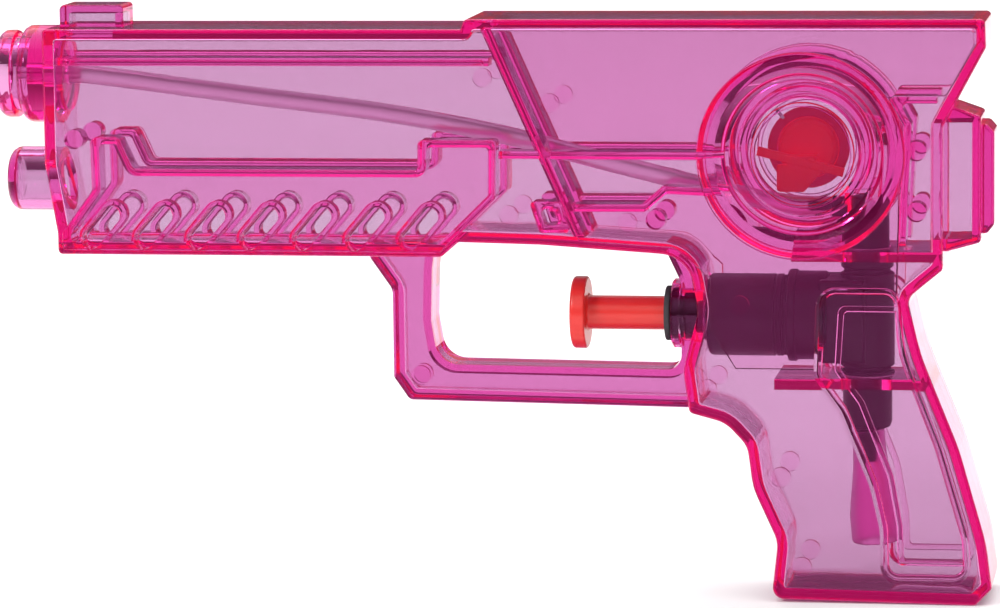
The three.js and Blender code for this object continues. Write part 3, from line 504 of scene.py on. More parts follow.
def bump(tree, height, strength, depth_mm):
    """The normal of a surface that a texture raises by up to depth_mm."""
    values = {"Strength": strength, "Distance": depth_mm * MM}
    return add(tree, "ShaderNodeBump", values, {"Height": height}).outputs["Normal"]


def surface(tree, output, values, links):
    """A Principled surface on the material's output."""
    skin = add(tree, "ShaderNodeBsdfPrincipled", values, links)
    tree.links.new(skin.outputs["BSDF"], output.inputs["Surface"])


print("pink dye, linear:", [round(v, 3) for v in linear(PINK_DYE)[:3]])

# %% Clear pink polystyrene
# Injection-moulded and unpolished inside: clear, glossy, with a faint flow waviness about 9 mm long.
pink_styrene, tree, output = start_material("clear_pink_polystyrene")
flow = noise(tree, 9.0, 2.0, roughness=0.4)
surface(
    tree, output,
    {"Base Color": linear("#D2DCDA"), "Roughness": 0.03, "IOR": 1.59, "Transmission Weight": 1.0,
     "Specular Tint": linear("#B45C9C")},
    {"Normal": bump(tree, flow, 0.12, 0.12)},
)
dye = add(tree, "ShaderNodeVolumeAbsorption", {"Color": linear(PINK_DYE), "Density": 240.0})
# Painted glow: an emission in the pink volume that stands in for light, added to the dye's absorption.
painted_volume_glow = add(tree, "ShaderNodeEmission", {"Color": linear("#FF289A"), "Strength": 16.0})
dye_and_painted_glow = add(
    tree, "ShaderNodeAddShader", links={0: dye.outputs["Volume"], 1: painted_volume_glow.outputs["Emission"]},
)
tree.links.new(dye_and_painted_glow.outputs["Shader"], output.inputs["Volume"])

# %% Soft clear PVC
# Extruded soft tube: clear but slightly milky, with a dull skin whose haze drifts over about 3 mm.


def soft_pvc(name, colour):
    """A milky see-through tube material of one colour."""
    material, tree, output = start_material(name)
    haze = noise(tree, 3.0, 3.0)
    surface(
        tree, output, {"Base Color": linear(colour), "IOR": 1.3, "Transmission Weight": 1.0},
        {"Roughness": spread(tree, haze, 0.3, 0.36)},
    )
    return material


clear_pvc = soft_pvc("soft_clear_pvc", "#FFEFF9")
pink_pvc = soft_pvc("soft_pink_pvc", "#FFA6E0")

# %% Black moulded polypropylene
# Near black, satin, with fine pale drag marks where it rubs in assembly, about 2.6 mm long and 0.4 mm apart.
black_pp, tree, output = start_material("black_moulded_polypropylene")
marks = noise(
    tree, 2.6, 2.0, mapping={"Rotation": (0.0, math.radians(38), 0.0), "Scale": (1.0, 1.0, 7.0)},
)
surface(
    tree, output, {"IOR": 1.49},
    {
        "Base Color": ramp(tree, marks, (0.5, "#08060A"), (0.78, "#2C2633")),
        "Roughness": spread(tree, marks, 0.3, 0.55, 0.35, 0.75),
        "Normal": bump(tree, marks, 0.08, 0.05),
    },
)

# %% Black rubber
# Cut from sheet: matt, very dark, with a fine talc bloom about 1.5 mm across.
black_rubber, tree, output = start_material("black_nitrile_rubber")
bloom = noise(tree, 1.5, 3.0)
surface(
    tree, output, {"Roughness": 0.75, "IOR": 1.52},
    {"Base Color": ramp(tree, bloom, (0.0, "#2A262C"), (1.0, "#48444A"))},
)

# %% Red mouldings
# Opaque red, softly glossy, with a little light under the skin and flow streaks about 4 mm long. The plunger
# is hard ABS. The stopper is soft PVC of a brighter red, with more light under its skin and a weak painted
# glow.


def red_moulding(name, dark, pale, under_skin, depth_mm, roughness, glow):
    """A red moulded plastic between two reds, with a share of light under its skin down to a depth in mm. The
    glow is painted light: an emission that stands for light that a soft red plastic passes on inside."""
    material, tree, output = start_material(name)
    streaks = noise(tree, 4.0, 3.0, mapping={"Scale": (1.0, 4.0, 4.0)})
    surface(
        tree, output,
        {"Roughness": roughness, "IOR": 1.54, "Subsurface Weight": under_skin,
         "Subsurface Radius": (1.0, 0.25, 0.2), "Subsurface Scale": depth_mm * MM,
         "Emission Color": linear(dark), "Emission Strength": glow},
        {
            "Base Color": ramp(tree, streaks, (0.0, dark), (1.0, pale)),
            "Normal": bump(tree, streaks, 0.15, 0.1),
        },
    )
    return material


red_abs = red_moulding(
    "red_moulded_abs", "#DE201D", "#EC3A35", under_skin=0.15, depth_mm=0.6, roughness=0.3, glow=0.0,
)
# The stopper's glow is painted light, standing in for light passed on inside the soft red plastic.
red_pvc = red_moulding(
    "red_soft_pvc", "#FF1A10", "#FF2A1E", under_skin=0.9, depth_mm=4.0, roughness=0.45, glow=0.25,
)

# %% Bright steel
# Drawn wire and ground balls: bright, with duller patches about 0.8 mm across.
bright_steel, tree, output = start_material("bright_spring_steel")
patches = noise(tree, 0.8, 3.0)
surface(
    tree, output, {"Base Color": linear("#C9CBCD"), "Metallic": 1.0},
    {"Roughness": spread(tree, patches, 0.18, 0.38)},
)

# %% [markdown]
# The shell. Sizes follow the frame of solids: a flat barrel side, a thicker rear block and slot panel, a
# ring boss round the filler, a thin guard, and a turned muzzle and stub. The values are grouped as a
# moulder would list them.

# %% Shell sizes
# Half thicknesses, walls and edge rounds
BARREL_HALF = 11.4
PLATE_HALF = 12.1
RING_HALF = 12.9
GUARD_HALF = 5.0
HAMMER_HALF = 8.2
HAMMER_TIP_HALF = 6.6
SIGHT_HALF = 4.6
FACE_WALL = 1.8
EDGE_WALL = 2.0
GUARD_WALL = 3.0
INSIDE_HALF = BARREL_HALF - FACE_WALL
SEAM_HALF_GAP = 0.02
EDGE_ROUND = 0.8
SIGHT_ROUND = 0.5
PLATE_ROUND = 0.35
HOLLOW_ROUND = 0.5
GUARD_HOLLOW_ROUND = 0.4
# How far forms pass the parting plane, sink into a wall or reach past the toy while they are joined and cut
OVERLAP = 4.0
ROOT = 0.5
DEEP_ROOT = 1.0
FAR = 30.0
BEYOND_X = (-200, 60)
BEYOND_Z = (-60, 130)
# Ribs and walls inside, the ridge along the barrel and the grip's inset panel
STEP_WALL = 1.5
STEP_DEPTH = 5.2
STEP_ROUND = 0.7
FRONT_DEPTH = 7.2
LINE_ROUND = 0.4
RIDGE_RISE = 0.6
RIDGE_ROUND = 0.3
CHANNEL_FLOOR = 0.1
POCKET_WALL_DEPTH = 2.4
POCKET_DEPTH = 1.2
POCKET_SLOPE = 0.7
POCKET_LIP = 0.02
# Levels and ends of the body
BARREL_TOP_Z = 89.2
BLOCK_TOP_Z = 91.2
RAIL_Z = 43.7
FRONT_X = -163.7
REAR_X = 16.8
BASE_Z = -24.6
# Muzzle, nozzle and stub
MUZZLE_Z = 79.3
MUZZLE_AT = (0, 0, MUZZLE_Z)
MUZZLE_TIP_X = -175.0
FLANGE_R = 8.9
FLANGE_BACK_X = -171.2
NECK_R = 7.6
MUZZLE_BASE_R = 9.9
MUZZLE_BASE_X = -170.0
MOUTH_R = 5.2
MOUTH_END_X = -168.0
NOZZLE_WALL = 2.2
NOZZLE_WALL_END_X = -160.4
JET_R = 2.15
JET_HOLE_R = 1.35
JET_SEAT_X = -165.3
JET_END_X = -160.8
BORE_START_X = -190
JET_BORE_END_X = -150
STUB_Z = 57.9
STUB_AT = (0, 0, STUB_Z)
STUB_R = 6.5
STUB_TIP_X = -173.3
STUB_BORE_END_X = -150
# Ring, dish, window and the boss behind them
RING_X = -11.0
RING_Z = 64.3
RING_AT = (RING_X, 0, RING_Z)
RING_R = 20.5
RING_ROUND = 0.5
RING_TURNS = np.array([0.0, 0.5, 1.05, 1.57])
DISH_TOP_R = 17.4
DISH_FLOOR_R = 15.0
DISH_FLOOR_HALF = 7.0
DISH_STEP_R = 12.2
DISH_STEP_SLOPE = 0.3
DISH_STEP_RISE = 0.45
WINDOW_RIM_R = 10.3
WINDOW_R = 9.4
WINDOW_RIM_RISE = 0.9
WINDOW_BEVEL = 0.2
FILLER_R = 6.3
RING_BOSS_IN = 2.6
# Pump and column, with the room that ribs and bores leave round them
PUMP_Z = 31.4
PUMP_AT = (0, 0, PUMP_Z)
NOSE_X0 = -37.9
NOSE_R = 5.2
NOSE_BORE_X0 = -60
PUMP_BARREL_R = 8.2
PUMP_BARREL_X0 = -30.4
BARREL_BORE_END_X = -10
COLLAR_R = 6.95
COLLAR_END_X = -30.0
COLUMN_X = 1.2
COLUMN_AT = (COLUMN_X, 0, 0)
COLUMN_R = 4.4
CAP_R = 4.9
HOUSING_R = 9.2
HOUSING_ROOM_X = (-20, -6.2)
FIT = 0.15
PUMP_ROOM = 0.3
BOSS_ROOM = 0.5
UPPER_ROOM_Z = (30, 60)
LOWER_ROOM_Z = (10, 30)
BOSS_ROOM_Z = (30, 56.3)
UPPER_RIB_X = (-13.0, 15.5)
UPPER_RIB_Z = (43.3, 45.3)
LOWER_RIB_X = (-16.5, 14.0)
LOWER_RIB_Z = (17.7, 19.8)

# %% Shell outlines
BODY = [
    (-17.2, BASE_Z + 0.3, 2.2), (23.2, BASE_Z - 0.3, 1.0), (26.5, -21.6, 1.2), (25.4, -12.6, 30),
    (20.0, 6.4, 40), (12.5, 25.0, 40), (9.9, 36.2, 2.6), (REAR_X, 41.9, 1.0),
    (REAR_X, 70.0, 1.0), (25.2, 85.6, 1.0), (25.0, BLOCK_TOP_Z, 1.0), (-77.6, BLOCK_TOP_Z, 1.0),
    (-78.4, BARREL_TOP_Z, 0), (FRONT_X, BARREL_TOP_Z, 1.0), (FRONT_X, 61.8, 8), (-161.4, 48.0, 4),
    (-161.4, RAIL_Z, 1.0), (-82.9, RAIL_Z, 1.0), (-79.4, 46.7, 0.8), (-62.9, 46.3, 30),
    (-33.4, 44.3, 8), (-31.5, 33.0, 9), (-34.6, 21.5, 9), (-33.4, 12.9, 1.2),
    (-26.2, 11.0, 7), (-21.9, 6.4, 5), (-20.8, -2.0, 12), (-15.9, -12.8, 6),
]
GUARD = [
    (-33.4, 12.9, 0), (-29.0, 18.0, 0), (-29.0, 46.0, 0), (-76.0, 50.0, 0),
    (-98.6, 50.0, 0), (-98.6, 42.6, 1.0), (-94.1, 36.2, 3), (-94.1, 18.4, 1.5), (-90.9, 13.8, 1.5),
]
GUARD_OPENING = [
    (-35.6, 20.6, 3), (-35.4, 38.0, 6), (-42.0, 52.0, 0), (-84.6, 52.0, 0),
    (-85.9, 40.0, 4), (-86.2, 30.0, 6), (-84.8, 21.2, 6),
]
HAMMER = [
    (12.0, 45.4, 0), (17.5, 45.2, 1.0), (24.1, 47.0, 1.0), (24.1, 71.9, 1.0), (19.0, 73.7, 1.0),
    (12.0, 73.7, 0),
]
HAMMER_TIP = [
    (20.0, 48.6, 0), (25.2, 48.6, 1.0), (26.6, 50.4, 1.2), (26.6, 68.6, 1.2), (25.2, 70.2, 1.0),
    (20.0, 70.2, 0),
]
HAMMER_HOLLOW_X = (10.0, 22.3)
HAMMER_HOLLOW_Z = (47.6, 70.6)
HAMMER_HOLLOW_HALF = 6.4
SIGHT = [(-161.6, 86.0, 0), (-148.4, 86.0, 0), (-148.4, 93.6, 0.8), (-161.6, 93.6, 1.2)]
SIGHT_HOLLOW_X = (-159.8, -150.2)
SIGHT_HOLLOW_Z = (84.0, 91.8)
SIGHT_HOLLOW_HALF = 3.0
RIDGE = [(-162.9, 82.0, 0), (-73.6, 82.0, 0), (-74.1, 83.2, 0), (-162.9, 83.2, 0)]
SLOT_PANEL = [
    (-160.2, RAIL_Z + 1.0, 0.8), (-82.9, RAIL_Z + 1.0, 0.8), (-78.3, 49.2, 1.0), (-71.9, 55.4, 1.2),
    (-71.7, 67.1, 1.0), (-87.2, 67.1, 0.8), (-87.3, 61.1, 0.8), (-145.6, 61.1, 1.2),
    (-148.5, 67.5, 1.2), (-154.0, 67.5, 1.2), (-153.8, 56.8, 1.5), (-160.2, 48.2, 1.0),
]
REAR_PLATE = [
    (-55.1, 47.2, 0.8), (-36.0, 46.0, 2), (-29.0, 40.0, 0), (-29.0, 30.0, 0), (-24.0, 22.0, 0),
    (8.0, 22.0, 0), (8.0, 38.0, 2.0), (8.5, 57.0, 2), (9.2, 70.2, 1.5), (6.0, 76.1, 1.0),
    (17.6, 76.1, 1.0), (23.4, 86.2, 1.0), (23.4, 89.6, 0.8), (-74.2, 89.6, 0.8),
]
CHANNEL = [
    (-57.6, 54.5, 0.6), (-42.5, 54.5, 0.8), (-38.3, 58.0, 0.8), (-26.0, 57.6, 0), (-26.0, 63.4, 0),
    (-61.7, 63.4, 0.6),
]
GRIP_POCKET = [
    (4.6, -20.8, 3.6), (22.4, -20.8, 3.6), (22.0, -12.0, 10), (16.6, 6.4, 30), (9.4, 25.0, 20),
    (8.4, 38.2, 3.6), (-7.9, 38.2, 3.6), (-8.6, 20.4, 3.6), (-3.6, 13.4, 6), (2.4, -1.2, 20),
    (4.4, -10.0, 10),
]
POCKET_LINE = [
    (8.6, 34.4, 0), (-3.9, 34.4, 1.6), (-4.7, 21.4, 2), (0.1, 14.8, 2), (5.8, 0.2, 10), (7.6, -9.8, 4),
    (7.8, -17.4, 0.8), (20.8, -17.4, 0), (20.8, -16.2, 0), (9.0, -16.2, 0.8), (8.8, -9.6, 4), (7.0, 0.6, 10),
    (1.2, 15.4, 2), (-3.5, 21.8, 2), (-2.7, 33.2, 0.8), (8.6, 33.2, 0),
]
BLOCK_FRONT = [(-75.0, 90.2, 0), (-55.6, 46.4, 0), (-53.4, 46.4, 0), (-72.8, 90.2, 0)]
UPPER_LINE = [
    (-71.2, 63.4, 0), (-27.0, 63.4, 0), (-27.0, 63.4 + STEP_WALL, 0), (-71.2, 63.4 + STEP_WALL, 0),
]
LOWER_LINE = [
    (-61.1, 54.4 - STEP_WALL, 0), (-42.0, 54.5 - STEP_WALL, 0.8), (-37.8, 58.1 - STEP_WALL, 0.8),
    (-27.0, 57.6 - STEP_WALL, 0), (-27.0, 57.6, 0), (-38.4, 58.1, 0.8), (-42.6, 54.5, 0.8), (-61.1, 54.4, 0),
]
SMALL_FRAME = [(-63.1, 48.6, 0.8), (-56.9, 48.7, 0.8), (-59.2, 54.9, 0.8), (-65.2, 54.9, 0.8)]
BARREL_LINE = [(-161.0, 81.8, 0), (-73.0, 81.8, 0), (-73.0, 83.4, 0), (-161.0, 83.4, 0)]
REAR_EDGE = [
    (8.0, 46.4, 0), (8.0 + STEP_WALL, 46.4, 0), (8.5 + STEP_WALL, 57.0, 2), (9.2 + STEP_WALL, 70.4, 1.0),
    (8.4, 76.1 - STEP_WALL, 0.8), (15.6, 76.1 - STEP_WALL, 0), (15.6, 76.1, 0), (6.0, 76.1, 0.8),
    (9.2, 70.2, 1.0), (8.5, 57.0, 2),
]
SLOTS = 7
SLOT_FIRST_X = -150.1
SLOT_PITCH = 10.82
SLOT_TOP_Z = 51.8
SLOT_LEAN_X = 4.2
SLOT_DROP_Z = 4.9
SLOT_R = 2.0
SLOT_WALL = 0.9
SLOT_DEPTH = 4.4
SLOT_FLOOR = 1.4
SLOT_ROUND = 0.5
CUP_ROOT = 0.6
# The ring boss as steps of radius and distance from its inner end
RING_BOSS = [
    (10.9, 0.4), (11.3, 0.0), (13.0, 0.0), (13.4, 0.8), (15.4, 0.8), (15.8, 1.6), (17.2, 1.6), (17.6, 3.4),
    (19.6, 3.4), (20.2, 4.0),
]
POSTS = [(-157.8, 66.9), (-39.9, 51.4), (11.6, 65.2), (11.6, 53.2)]
POST_R = 1.95
POST_RISE = 4.1
GUARD_POST_AT = (-88.8, 0, 18.6)
GUARD_POST_IN = 1.0
PADS = [
    (-15.3, 0.1, 2.0), (-11.2, -18.0, 2.0), (-74.3, 79.5, 1.9), (-60.8, 74.5, 1.9), (-69.3, 52.1, 1.9),
    (-45.5, 50.8, 1.9), (-29.8, 17.6, 1.9), (-23.3, 34.5, 1.9),
]
PAD_RISE = 0.8
PAD_STEPS = 40
print("body outline", len(rounded(BODY)), "points")

# %% [markdown]
# One half shell is made as it would be machined into a mould: outside forms are joined, the hollow is cut
# out, the inside ribs, posts and cups go in, and then the pockets and bores are cut. A side is -1 for the
# near half and +1 for the far half, which also has the filler hole.

# %% Half shell: outside forms


def plate_form(corners, side, half, edge, steps=EDGE_STEPS):
    """An outline carried from beyond the parting plane out to a half thickness, over a rounded edge."""
    return prism(rounded(corners), edge_section(-OVERLAP * side, side * half, edge, steps))


def through(corners):
    """An outline carried right through both halves, to cut with."""
    return prism(rounded(corners), [(0.0, -FAR), (0.0, FAR)])


def turned_on_ring(profile, side):
    """Turns (radius, half thickness) pairs about the ring's axis, on one side of the parting plane."""
    return lathe([(radius, side * half) for radius, half in profile], "Y", RING_AT)


def front_turnings():
    """Muzzle, stub and pump collar: turned forms along X, each with a rounded front edge."""
    muzzle = [
        (0, MUZZLE_TIP_X), (FLANGE_R - 1.9, MUZZLE_TIP_X), (FLANGE_R - 1.2, MUZZLE_TIP_X + 0.2),
        (FLANGE_R - 0.5, MUZZLE_TIP_X + 0.7), (FLANGE_R - 0.1, MUZZLE_TIP_X + 1.3),
        (FLANGE_R, MUZZLE_TIP_X + 1.9), (FLANGE_R, FLANGE_BACK_X - 0.5),
        (FLANGE_R - 0.15, FLANGE_BACK_X - 0.15), (FLANGE_R - 0.5, FLANGE_BACK_X),
        (NECK_R, FLANGE_BACK_X), (NECK_R, MUZZLE_BASE_X), (MUZZLE_BASE_R - 1.9, MUZZLE_BASE_X),
        (MUZZLE_BASE_R - 1.1, MUZZLE_BASE_X + 0.25), (MUZZLE_BASE_R - 0.5, MUZZLE_BASE_X + 0.7),
        (MUZZLE_BASE_R - 0.1, MUZZLE_BASE_X + 1.4), (MUZZLE_BASE_R, MUZZLE_BASE_X + 2.2),
        (MUZZLE_BASE_R, FRONT_X + 1.0), (0, FRONT_X + 1.0),
    ]
    stub = [
        (0, STUB_TIP_X), (STUB_R - 2.0, STUB_TIP_X), (STUB_R - 1.2, STUB_TIP_X + 0.25),
        (STUB_R - 0.6, STUB_TIP_X + 0.7), (STUB_R - 0.1, STUB_TIP_X + 1.5), (STUB_R, STUB_TIP_X + 2.2),
        (STUB_R, FRONT_X + 2.0), (0, FRONT_X + 2.0),
    ]
    collar = [
        (0, NOSE_X0 + 0.2), (COLLAR_R - 0.4, NOSE_X0 + 0.2), (COLLAR_R, NOSE_X0 + 0.6),
        (COLLAR_R, NOSE_X0 + 1.9), (COLLAR_R - 0.45, NOSE_X0 + 2.2), (COLLAR_R - 0.45, NOSE_X0 + 2.9),
        (COLLAR_R, NOSE_X0 + 3.2), (COLLAR_R, COLLAR_END_X), (0, COLLAR_END_X),
    ]
    return [lathe(muzzle, "X", MUZZLE_AT), lathe(stub, "X", STUB_AT), lathe(collar, "X", PUMP_AT)]


def outside_forms(side):
    """Everything that the outside of one half adds, each with its rounded edge, as one body."""
    guard = carve(plate_form(GUARD, side, GUARD_HALF, EDGE_ROUND), [(CUT, through(GUARD_OPENING))])
    forms = [
        plate_form(BODY, side, BARREL_HALF, EDGE_ROUND),
        guard,
        plate_form(HAMMER, side, HAMMER_HALF, EDGE_ROUND),
        plate_form(HAMMER_TIP, side, HAMMER_TIP_HALF, EDGE_ROUND),
        plate_form(SIGHT, side, SIGHT_HALF, SIGHT_ROUND),
        plate_form(RIDGE, side, BARREL_HALF + RIDGE_RISE, RIDGE_ROUND, SMALL_EDGE_STEPS),
        plate_form(SLOT_PANEL, side, PLATE_HALF, PLATE_ROUND),
        plate_form(REAR_PLATE, side, PLATE_HALF, PLATE_ROUND),
        *front_turnings(),
    ]
    channel = prism(rounded(CHANNEL), [(0.0, side * (BARREL_HALF + CHANNEL_FLOOR)), (0.0, side * FAR)])
    rim_r = RING_R - RING_ROUND * (1 - np.cos(RING_TURNS))
    rim_half = RING_HALF - RING_ROUND * (1 - np.sin(RING_TURNS))
    rim = turned_on_ring([(0, 0), (RING_R, 0), *zip(rim_r, rim_half), (0, RING_HALF)], side)
    return carve(joined(forms), [(CUT, channel), (JOIN, rim)])


# %% Half shell: hollow


def hollow_forms(side):
    """The space inside one half: the body and guard outlines moved in by the wall, and the small hollows."""
    hammer_levels = sorted((-OVERLAP * side, side * HAMMER_HOLLOW_HALF))
    sight_levels = sorted((-OVERLAP * side, side * SIGHT_HOLLOW_HALF))
    guard_inside = GUARD_HALF - GUARD_WALL
    guard = carve(
        plate_form(inset(GUARD, EDGE_WALL), side, guard_inside, GUARD_HOLLOW_ROUND, SMALL_EDGE_STEPS),
        [(CUT, through(inset(GUARD_OPENING, -EDGE_WALL))), (CUT, through(BODY))],
    )
    return joined(
        [
            plate_form(inset(BODY, EDGE_WALL), side, INSIDE_HALF, HOLLOW_ROUND, SMALL_EDGE_STEPS),
            guard,
            block(*HAMMER_HOLLOW_X, *hammer_levels, *HAMMER_HOLLOW_Z),
            rod("X", STUB_R - EDGE_WALL, STUB_TIP_X + EDGE_WALL, STUB_BORE_END_X, STUB_AT),
            block(*SIGHT_HOLLOW_X, *sight_levels, *SIGHT_HOLLOW_Z),
        ]
    )


# %% Half shell: ribs, walls and studs


def rib(corners, side, depth, edge):
    """An outline carried inwards from its root in the face wall to a depth under it, over a rounded edge."""
    levels = (side * (INSIDE_HALF + ROOT), side * (INSIDE_HALF - depth))
    return prism(rounded(corners), edge_section(*levels, edge, SMALL_EDGE_STEPS))


def wall_along(corners, side, depth):
    """A wall that follows an outline on the inside of one half. Both its edges are quarter rounds: at a
    depth d under the end they lie r - sqrt(r * r - (r - d) * (r - d)) back from the side."""
    end = INSIDE_HALF - depth
    a = np.linspace(0, math.pi / 2, SMALL_EDGE_STEPS + 1)
    flare = list(zip(-STEP_ROUND * (1 - np.sin(a)), side * (end + STEP_ROUND * (1 - np.cos(a)))))
    inner_side = [(-STEP_ROUND, -OVERLAP * side), *flare, (0.0, side * FAR)]
    return carve(
        rib(corners, side, depth, STEP_ROUND), [(CUT, prism(rounded(inset(corners, STEP_WALL)), inner_side))],
    )


def stud(x, z, radius, side, rise, steps):
    """A round stud on the inside of the face wall."""
    levels = (side * (INSIDE_HALF - rise), side * (INSIDE_HALF + ROOT))
    return rod("Y", radius, *levels, (x, 0, z), steps)


def housing_room():
    """The space round the valve housing, cut from what would run into it."""
    return rod("X", HOUSING_R + PUMP_ROOM, *HOUSING_ROOM_X, PUMP_AT)


def cradle_ribs(side, outer):
    """Two level ribs that hold the elbow's column and the inlet cap, kept within the outside."""
    levels = sorted((0.0, side * (INSIDE_HALF + DEEP_ROOT)))
    return carve(
        block(*UPPER_RIB_X, *levels, *UPPER_RIB_Z),
        [
            (JOIN, block(*LOWER_RIB_X, *levels, *LOWER_RIB_Z)),
            (CUT, rod("Z", COLUMN_R + PUMP_ROOM, *UPPER_ROOM_Z, COLUMN_AT)),
            (CUT, rod("Z", CAP_R + PUMP_ROOM, *LOWER_ROOM_Z, COLUMN_AT)),
            (KEEP, outer.copy()),
        ],
    )


def ring_boss(side):
    """The stepped boss behind the ring, with room for the elbow's column."""
    root = BARREL_HALF - DEEP_ROOT
    steps = [(radius, RING_BOSS_IN + rise) for radius, rise in RING_BOSS]
    return carve(
        turned_on_ring([(RING_BOSS[0][0], root), *steps, (RING_BOSS[-1][0], root)], side),
        [(CUT, rod("Z", COLUMN_R + BOSS_ROOM, *BOSS_ROOM_Z, COLUMN_AT))],
    )


def inside_forms(side, outer):
    """Ribs, walls, boss and pads on the inside of one half, kept within its outside."""
    forms = [rib(line, side, STEP_DEPTH, STEP_ROUND) for line in (UPPER_LINE, LOWER_LINE, BARREL_LINE)]
    forms += [
        rib(BLOCK_FRONT, side, FRONT_DEPTH, STEP_ROUND),
        wall_along(SMALL_FRAME, side, STEP_DEPTH),
        rib(REAR_EDGE, side, STEP_DEPTH, LINE_ROUND),
        rib(POCKET_LINE, side, POCKET_WALL_DEPTH, LINE_ROUND),
        carve(wall_along(GRIP_POCKET, side, POCKET_WALL_DEPTH), [(CUT, housing_room())]),
        carve(rib(GRIP_POCKET, side, POCKET_DEPTH, HOLLOW_ROUND), [(CUT, housing_room())]),
        ring_boss(side),
    ]
    forms += [stud(x, z, radius, side, PAD_RISE, PAD_STEPS) for x, z, radius in PADS]
    steps = [(JOIN, form) for form in forms] + [(KEEP, outer.copy())]
    return carve(wall_along(SLOT_PANEL, side, STEP_DEPTH), steps)


def posts(side, outer):
    """The locating posts, and the longer one in the guard, which is kept within the outside."""
    guard_levels = (side * GUARD_POST_IN, side * (BARREL_HALF - DEEP_ROOT))
    guard_post = carve(
        rod("Y", POST_R, *guard_levels, GUARD_POST_AT, SMALL_ROUND_STEPS), [(KEEP, outer.copy())],
    )
    return [stud(x, z, POST_R, side, POST_RISE, SMALL_ROUND_STEPS) for x, z in POSTS] + [guard_post]


# %% Half shell: dish, slots and bores


def dish_back(side):
    """The solid behind the dish, from which the dish is then cut."""
    back = DISH_FLOOR_HALF - FACE_WALL
    profile = [
        (0, back), (DISH_FLOOR_R + 0.6, back), (DISH_TOP_R + 1.4, BARREL_HALF - DEEP_ROOT),
        (DISH_TOP_R + 1.4, BARREL_HALF - ROOT), (0, BARREL_HALF - ROOT),
    ]
    return turned_on_ring(profile, side)


def dish_recess(side):
    """The space of the dish: over the window, its raised rim, a low step, and the slope up to the ring."""
    rim_top = DISH_FLOOR_HALF + WINDOW_RIM_RISE
    step_top = DISH_FLOOR_HALF + DISH_STEP_RISE
    profile = [
        (0, DISH_FLOOR_HALF), (WINDOW_R, DISH_FLOOR_HALF), (WINDOW_R, rim_top - WINDOW_BEVEL),
        (WINDOW_R + WINDOW_BEVEL, rim_top), (WINDOW_RIM_R - WINDOW_BEVEL, rim_top),
        (WINDOW_RIM_R, rim_top - WINDOW_BEVEL), (WINDOW_RIM_R, DISH_FLOOR_HALF),
        (DISH_STEP_R, DISH_FLOOR_HALF), (DISH_STEP_R + DISH_STEP_SLOPE, step_top),
        (DISH_FLOOR_R - 0.4, step_top), (DISH_FLOOR_R + 0.2, DISH_FLOOR_HALF + 0.9),
        (DISH_TOP_R, BARREL_HALF - 0.2), (DISH_TOP_R + 1.3, BARREL_HALF + 0.1), (DISH_TOP_R + 1.3, FAR),
        (0, FAR),
    ]
    return turned_on_ring(profile, side)


def slot_ends(k):
    """Centres of the two ends of slot k: the top one on the pitch line, the bottom one leaning forwards."""
    x = SLOT_FIRST_X + k * SLOT_PITCH
    return x - SLOT_LEAN_X, SLOT_TOP_Z - SLOT_DROP_Z, x, SLOT_TOP_Z


def slot_forms(side, radius, start, end):
    """One pill for each slot, from one half thickness to another, with a rounded end."""
    section = edge_section(side * start, side * end, SLOT_ROUND, SMALL_EDGE_STEPS)
    return [prism(pill(*slot_ends(k), radius), section) for k in range(SLOTS)]


def grip_pocket(side):
    """The space of the grip's inset panel, whose wall slopes in from the side face."""
    section = [
        (0.0, side * FAR), (0.0, side * (BARREL_HALF + POCKET_LIP)),
        (POCKET_SLOPE, side * (BARREL_HALF - POCKET_DEPTH)),
    ]
    return prism(rounded(GRIP_POCKET), section)


def bores(side):
    """The mouth, the jet's seat and hole and the pump's room. The far half has the filler hole too."""
    cuts = [
        rod("X", MOUTH_R, BORE_START_X, MOUTH_END_X, MUZZLE_AT),
        rod("X", JET_R + FIT, JET_SEAT_X, JET_BORE_END_X, MUZZLE_AT, SMALL_ROUND_STEPS),
        rod("X", JET_HOLE_R, BORE_START_X, JET_BORE_END_X, MUZZLE_AT, SMALL_ROUND_STEPS),
        rod("X", NOSE_R + FIT, NOSE_BORE_X0, PUMP_BARREL_X0 + DEEP_ROOT, PUMP_AT),
        rod("X", PUMP_BARREL_R + PUMP_ROOM, PUMP_BARREL_X0 - PUMP_ROOM, BARREL_BORE_END_X, PUMP_AT),
    ]
    if side > 0:
        cuts.append(rod("Y", FILLER_R, -FAR, FAR, RING_AT))
    return cuts


# %% Half shell


def half_shell(side):
    """Outside minus hollow, plus ribs, dish, cups, posts and pads, minus pockets and bores."""
    outer = outside_forms(side)
    slot_floor = PLATE_HALF - SLOT_DEPTH
    added = [
        rod("X", MOUTH_R + NOZZLE_WALL, MOUTH_END_X, NOZZLE_WALL_END_X, MUZZLE_AT),
        cradle_ribs(side, outer),
        inside_forms(side, outer),
        dish_back(side),
        *slot_forms(side, SLOT_R + SLOT_WALL, BARREL_HALF - CUP_ROOT, slot_floor - SLOT_FLOOR),
        *posts(side, outer),
    ]
    half = block(*BEYOND_X, *sorted((side * SEAM_HALF_GAP, side * FAR)), *BEYOND_Z)
    removed = [dish_recess(side), *slot_forms(side, SLOT_R, FAR, slot_floor), grip_pocket(side), *bores(side)]
    steps = [(CUT, hollow_forms(side))]
    steps += [(JOIN, form) for form in added]
    steps += [(KEEP, half)]
    steps += [(CUT, form) for form in removed]
    return carve(outer, steps)


# %% Both half shells
left_mesh = half_shell(-1)
right_mesh = half_shell(1)
print("shell volumes", round(volume(left_mesh) / 1000, 2), round(volume(right_mesh) / 1000, 2), "cubic cm")
left_shell = finish_piece("left_half_shell", left_mesh, "frame", pink_styrene, "left_shell")
right_shell = finish_piece("right_half_shell", right_mesh, "frame", pink_styrene, "right_shell")

# %% [markdown]
# The pump is a stack of turned black pieces on one line: a gland ring, a barrel with a nose, and a valve
# housing with a column through it. The gaskets between them are thin rubber rings. Each is a lathe of its
# own profile.

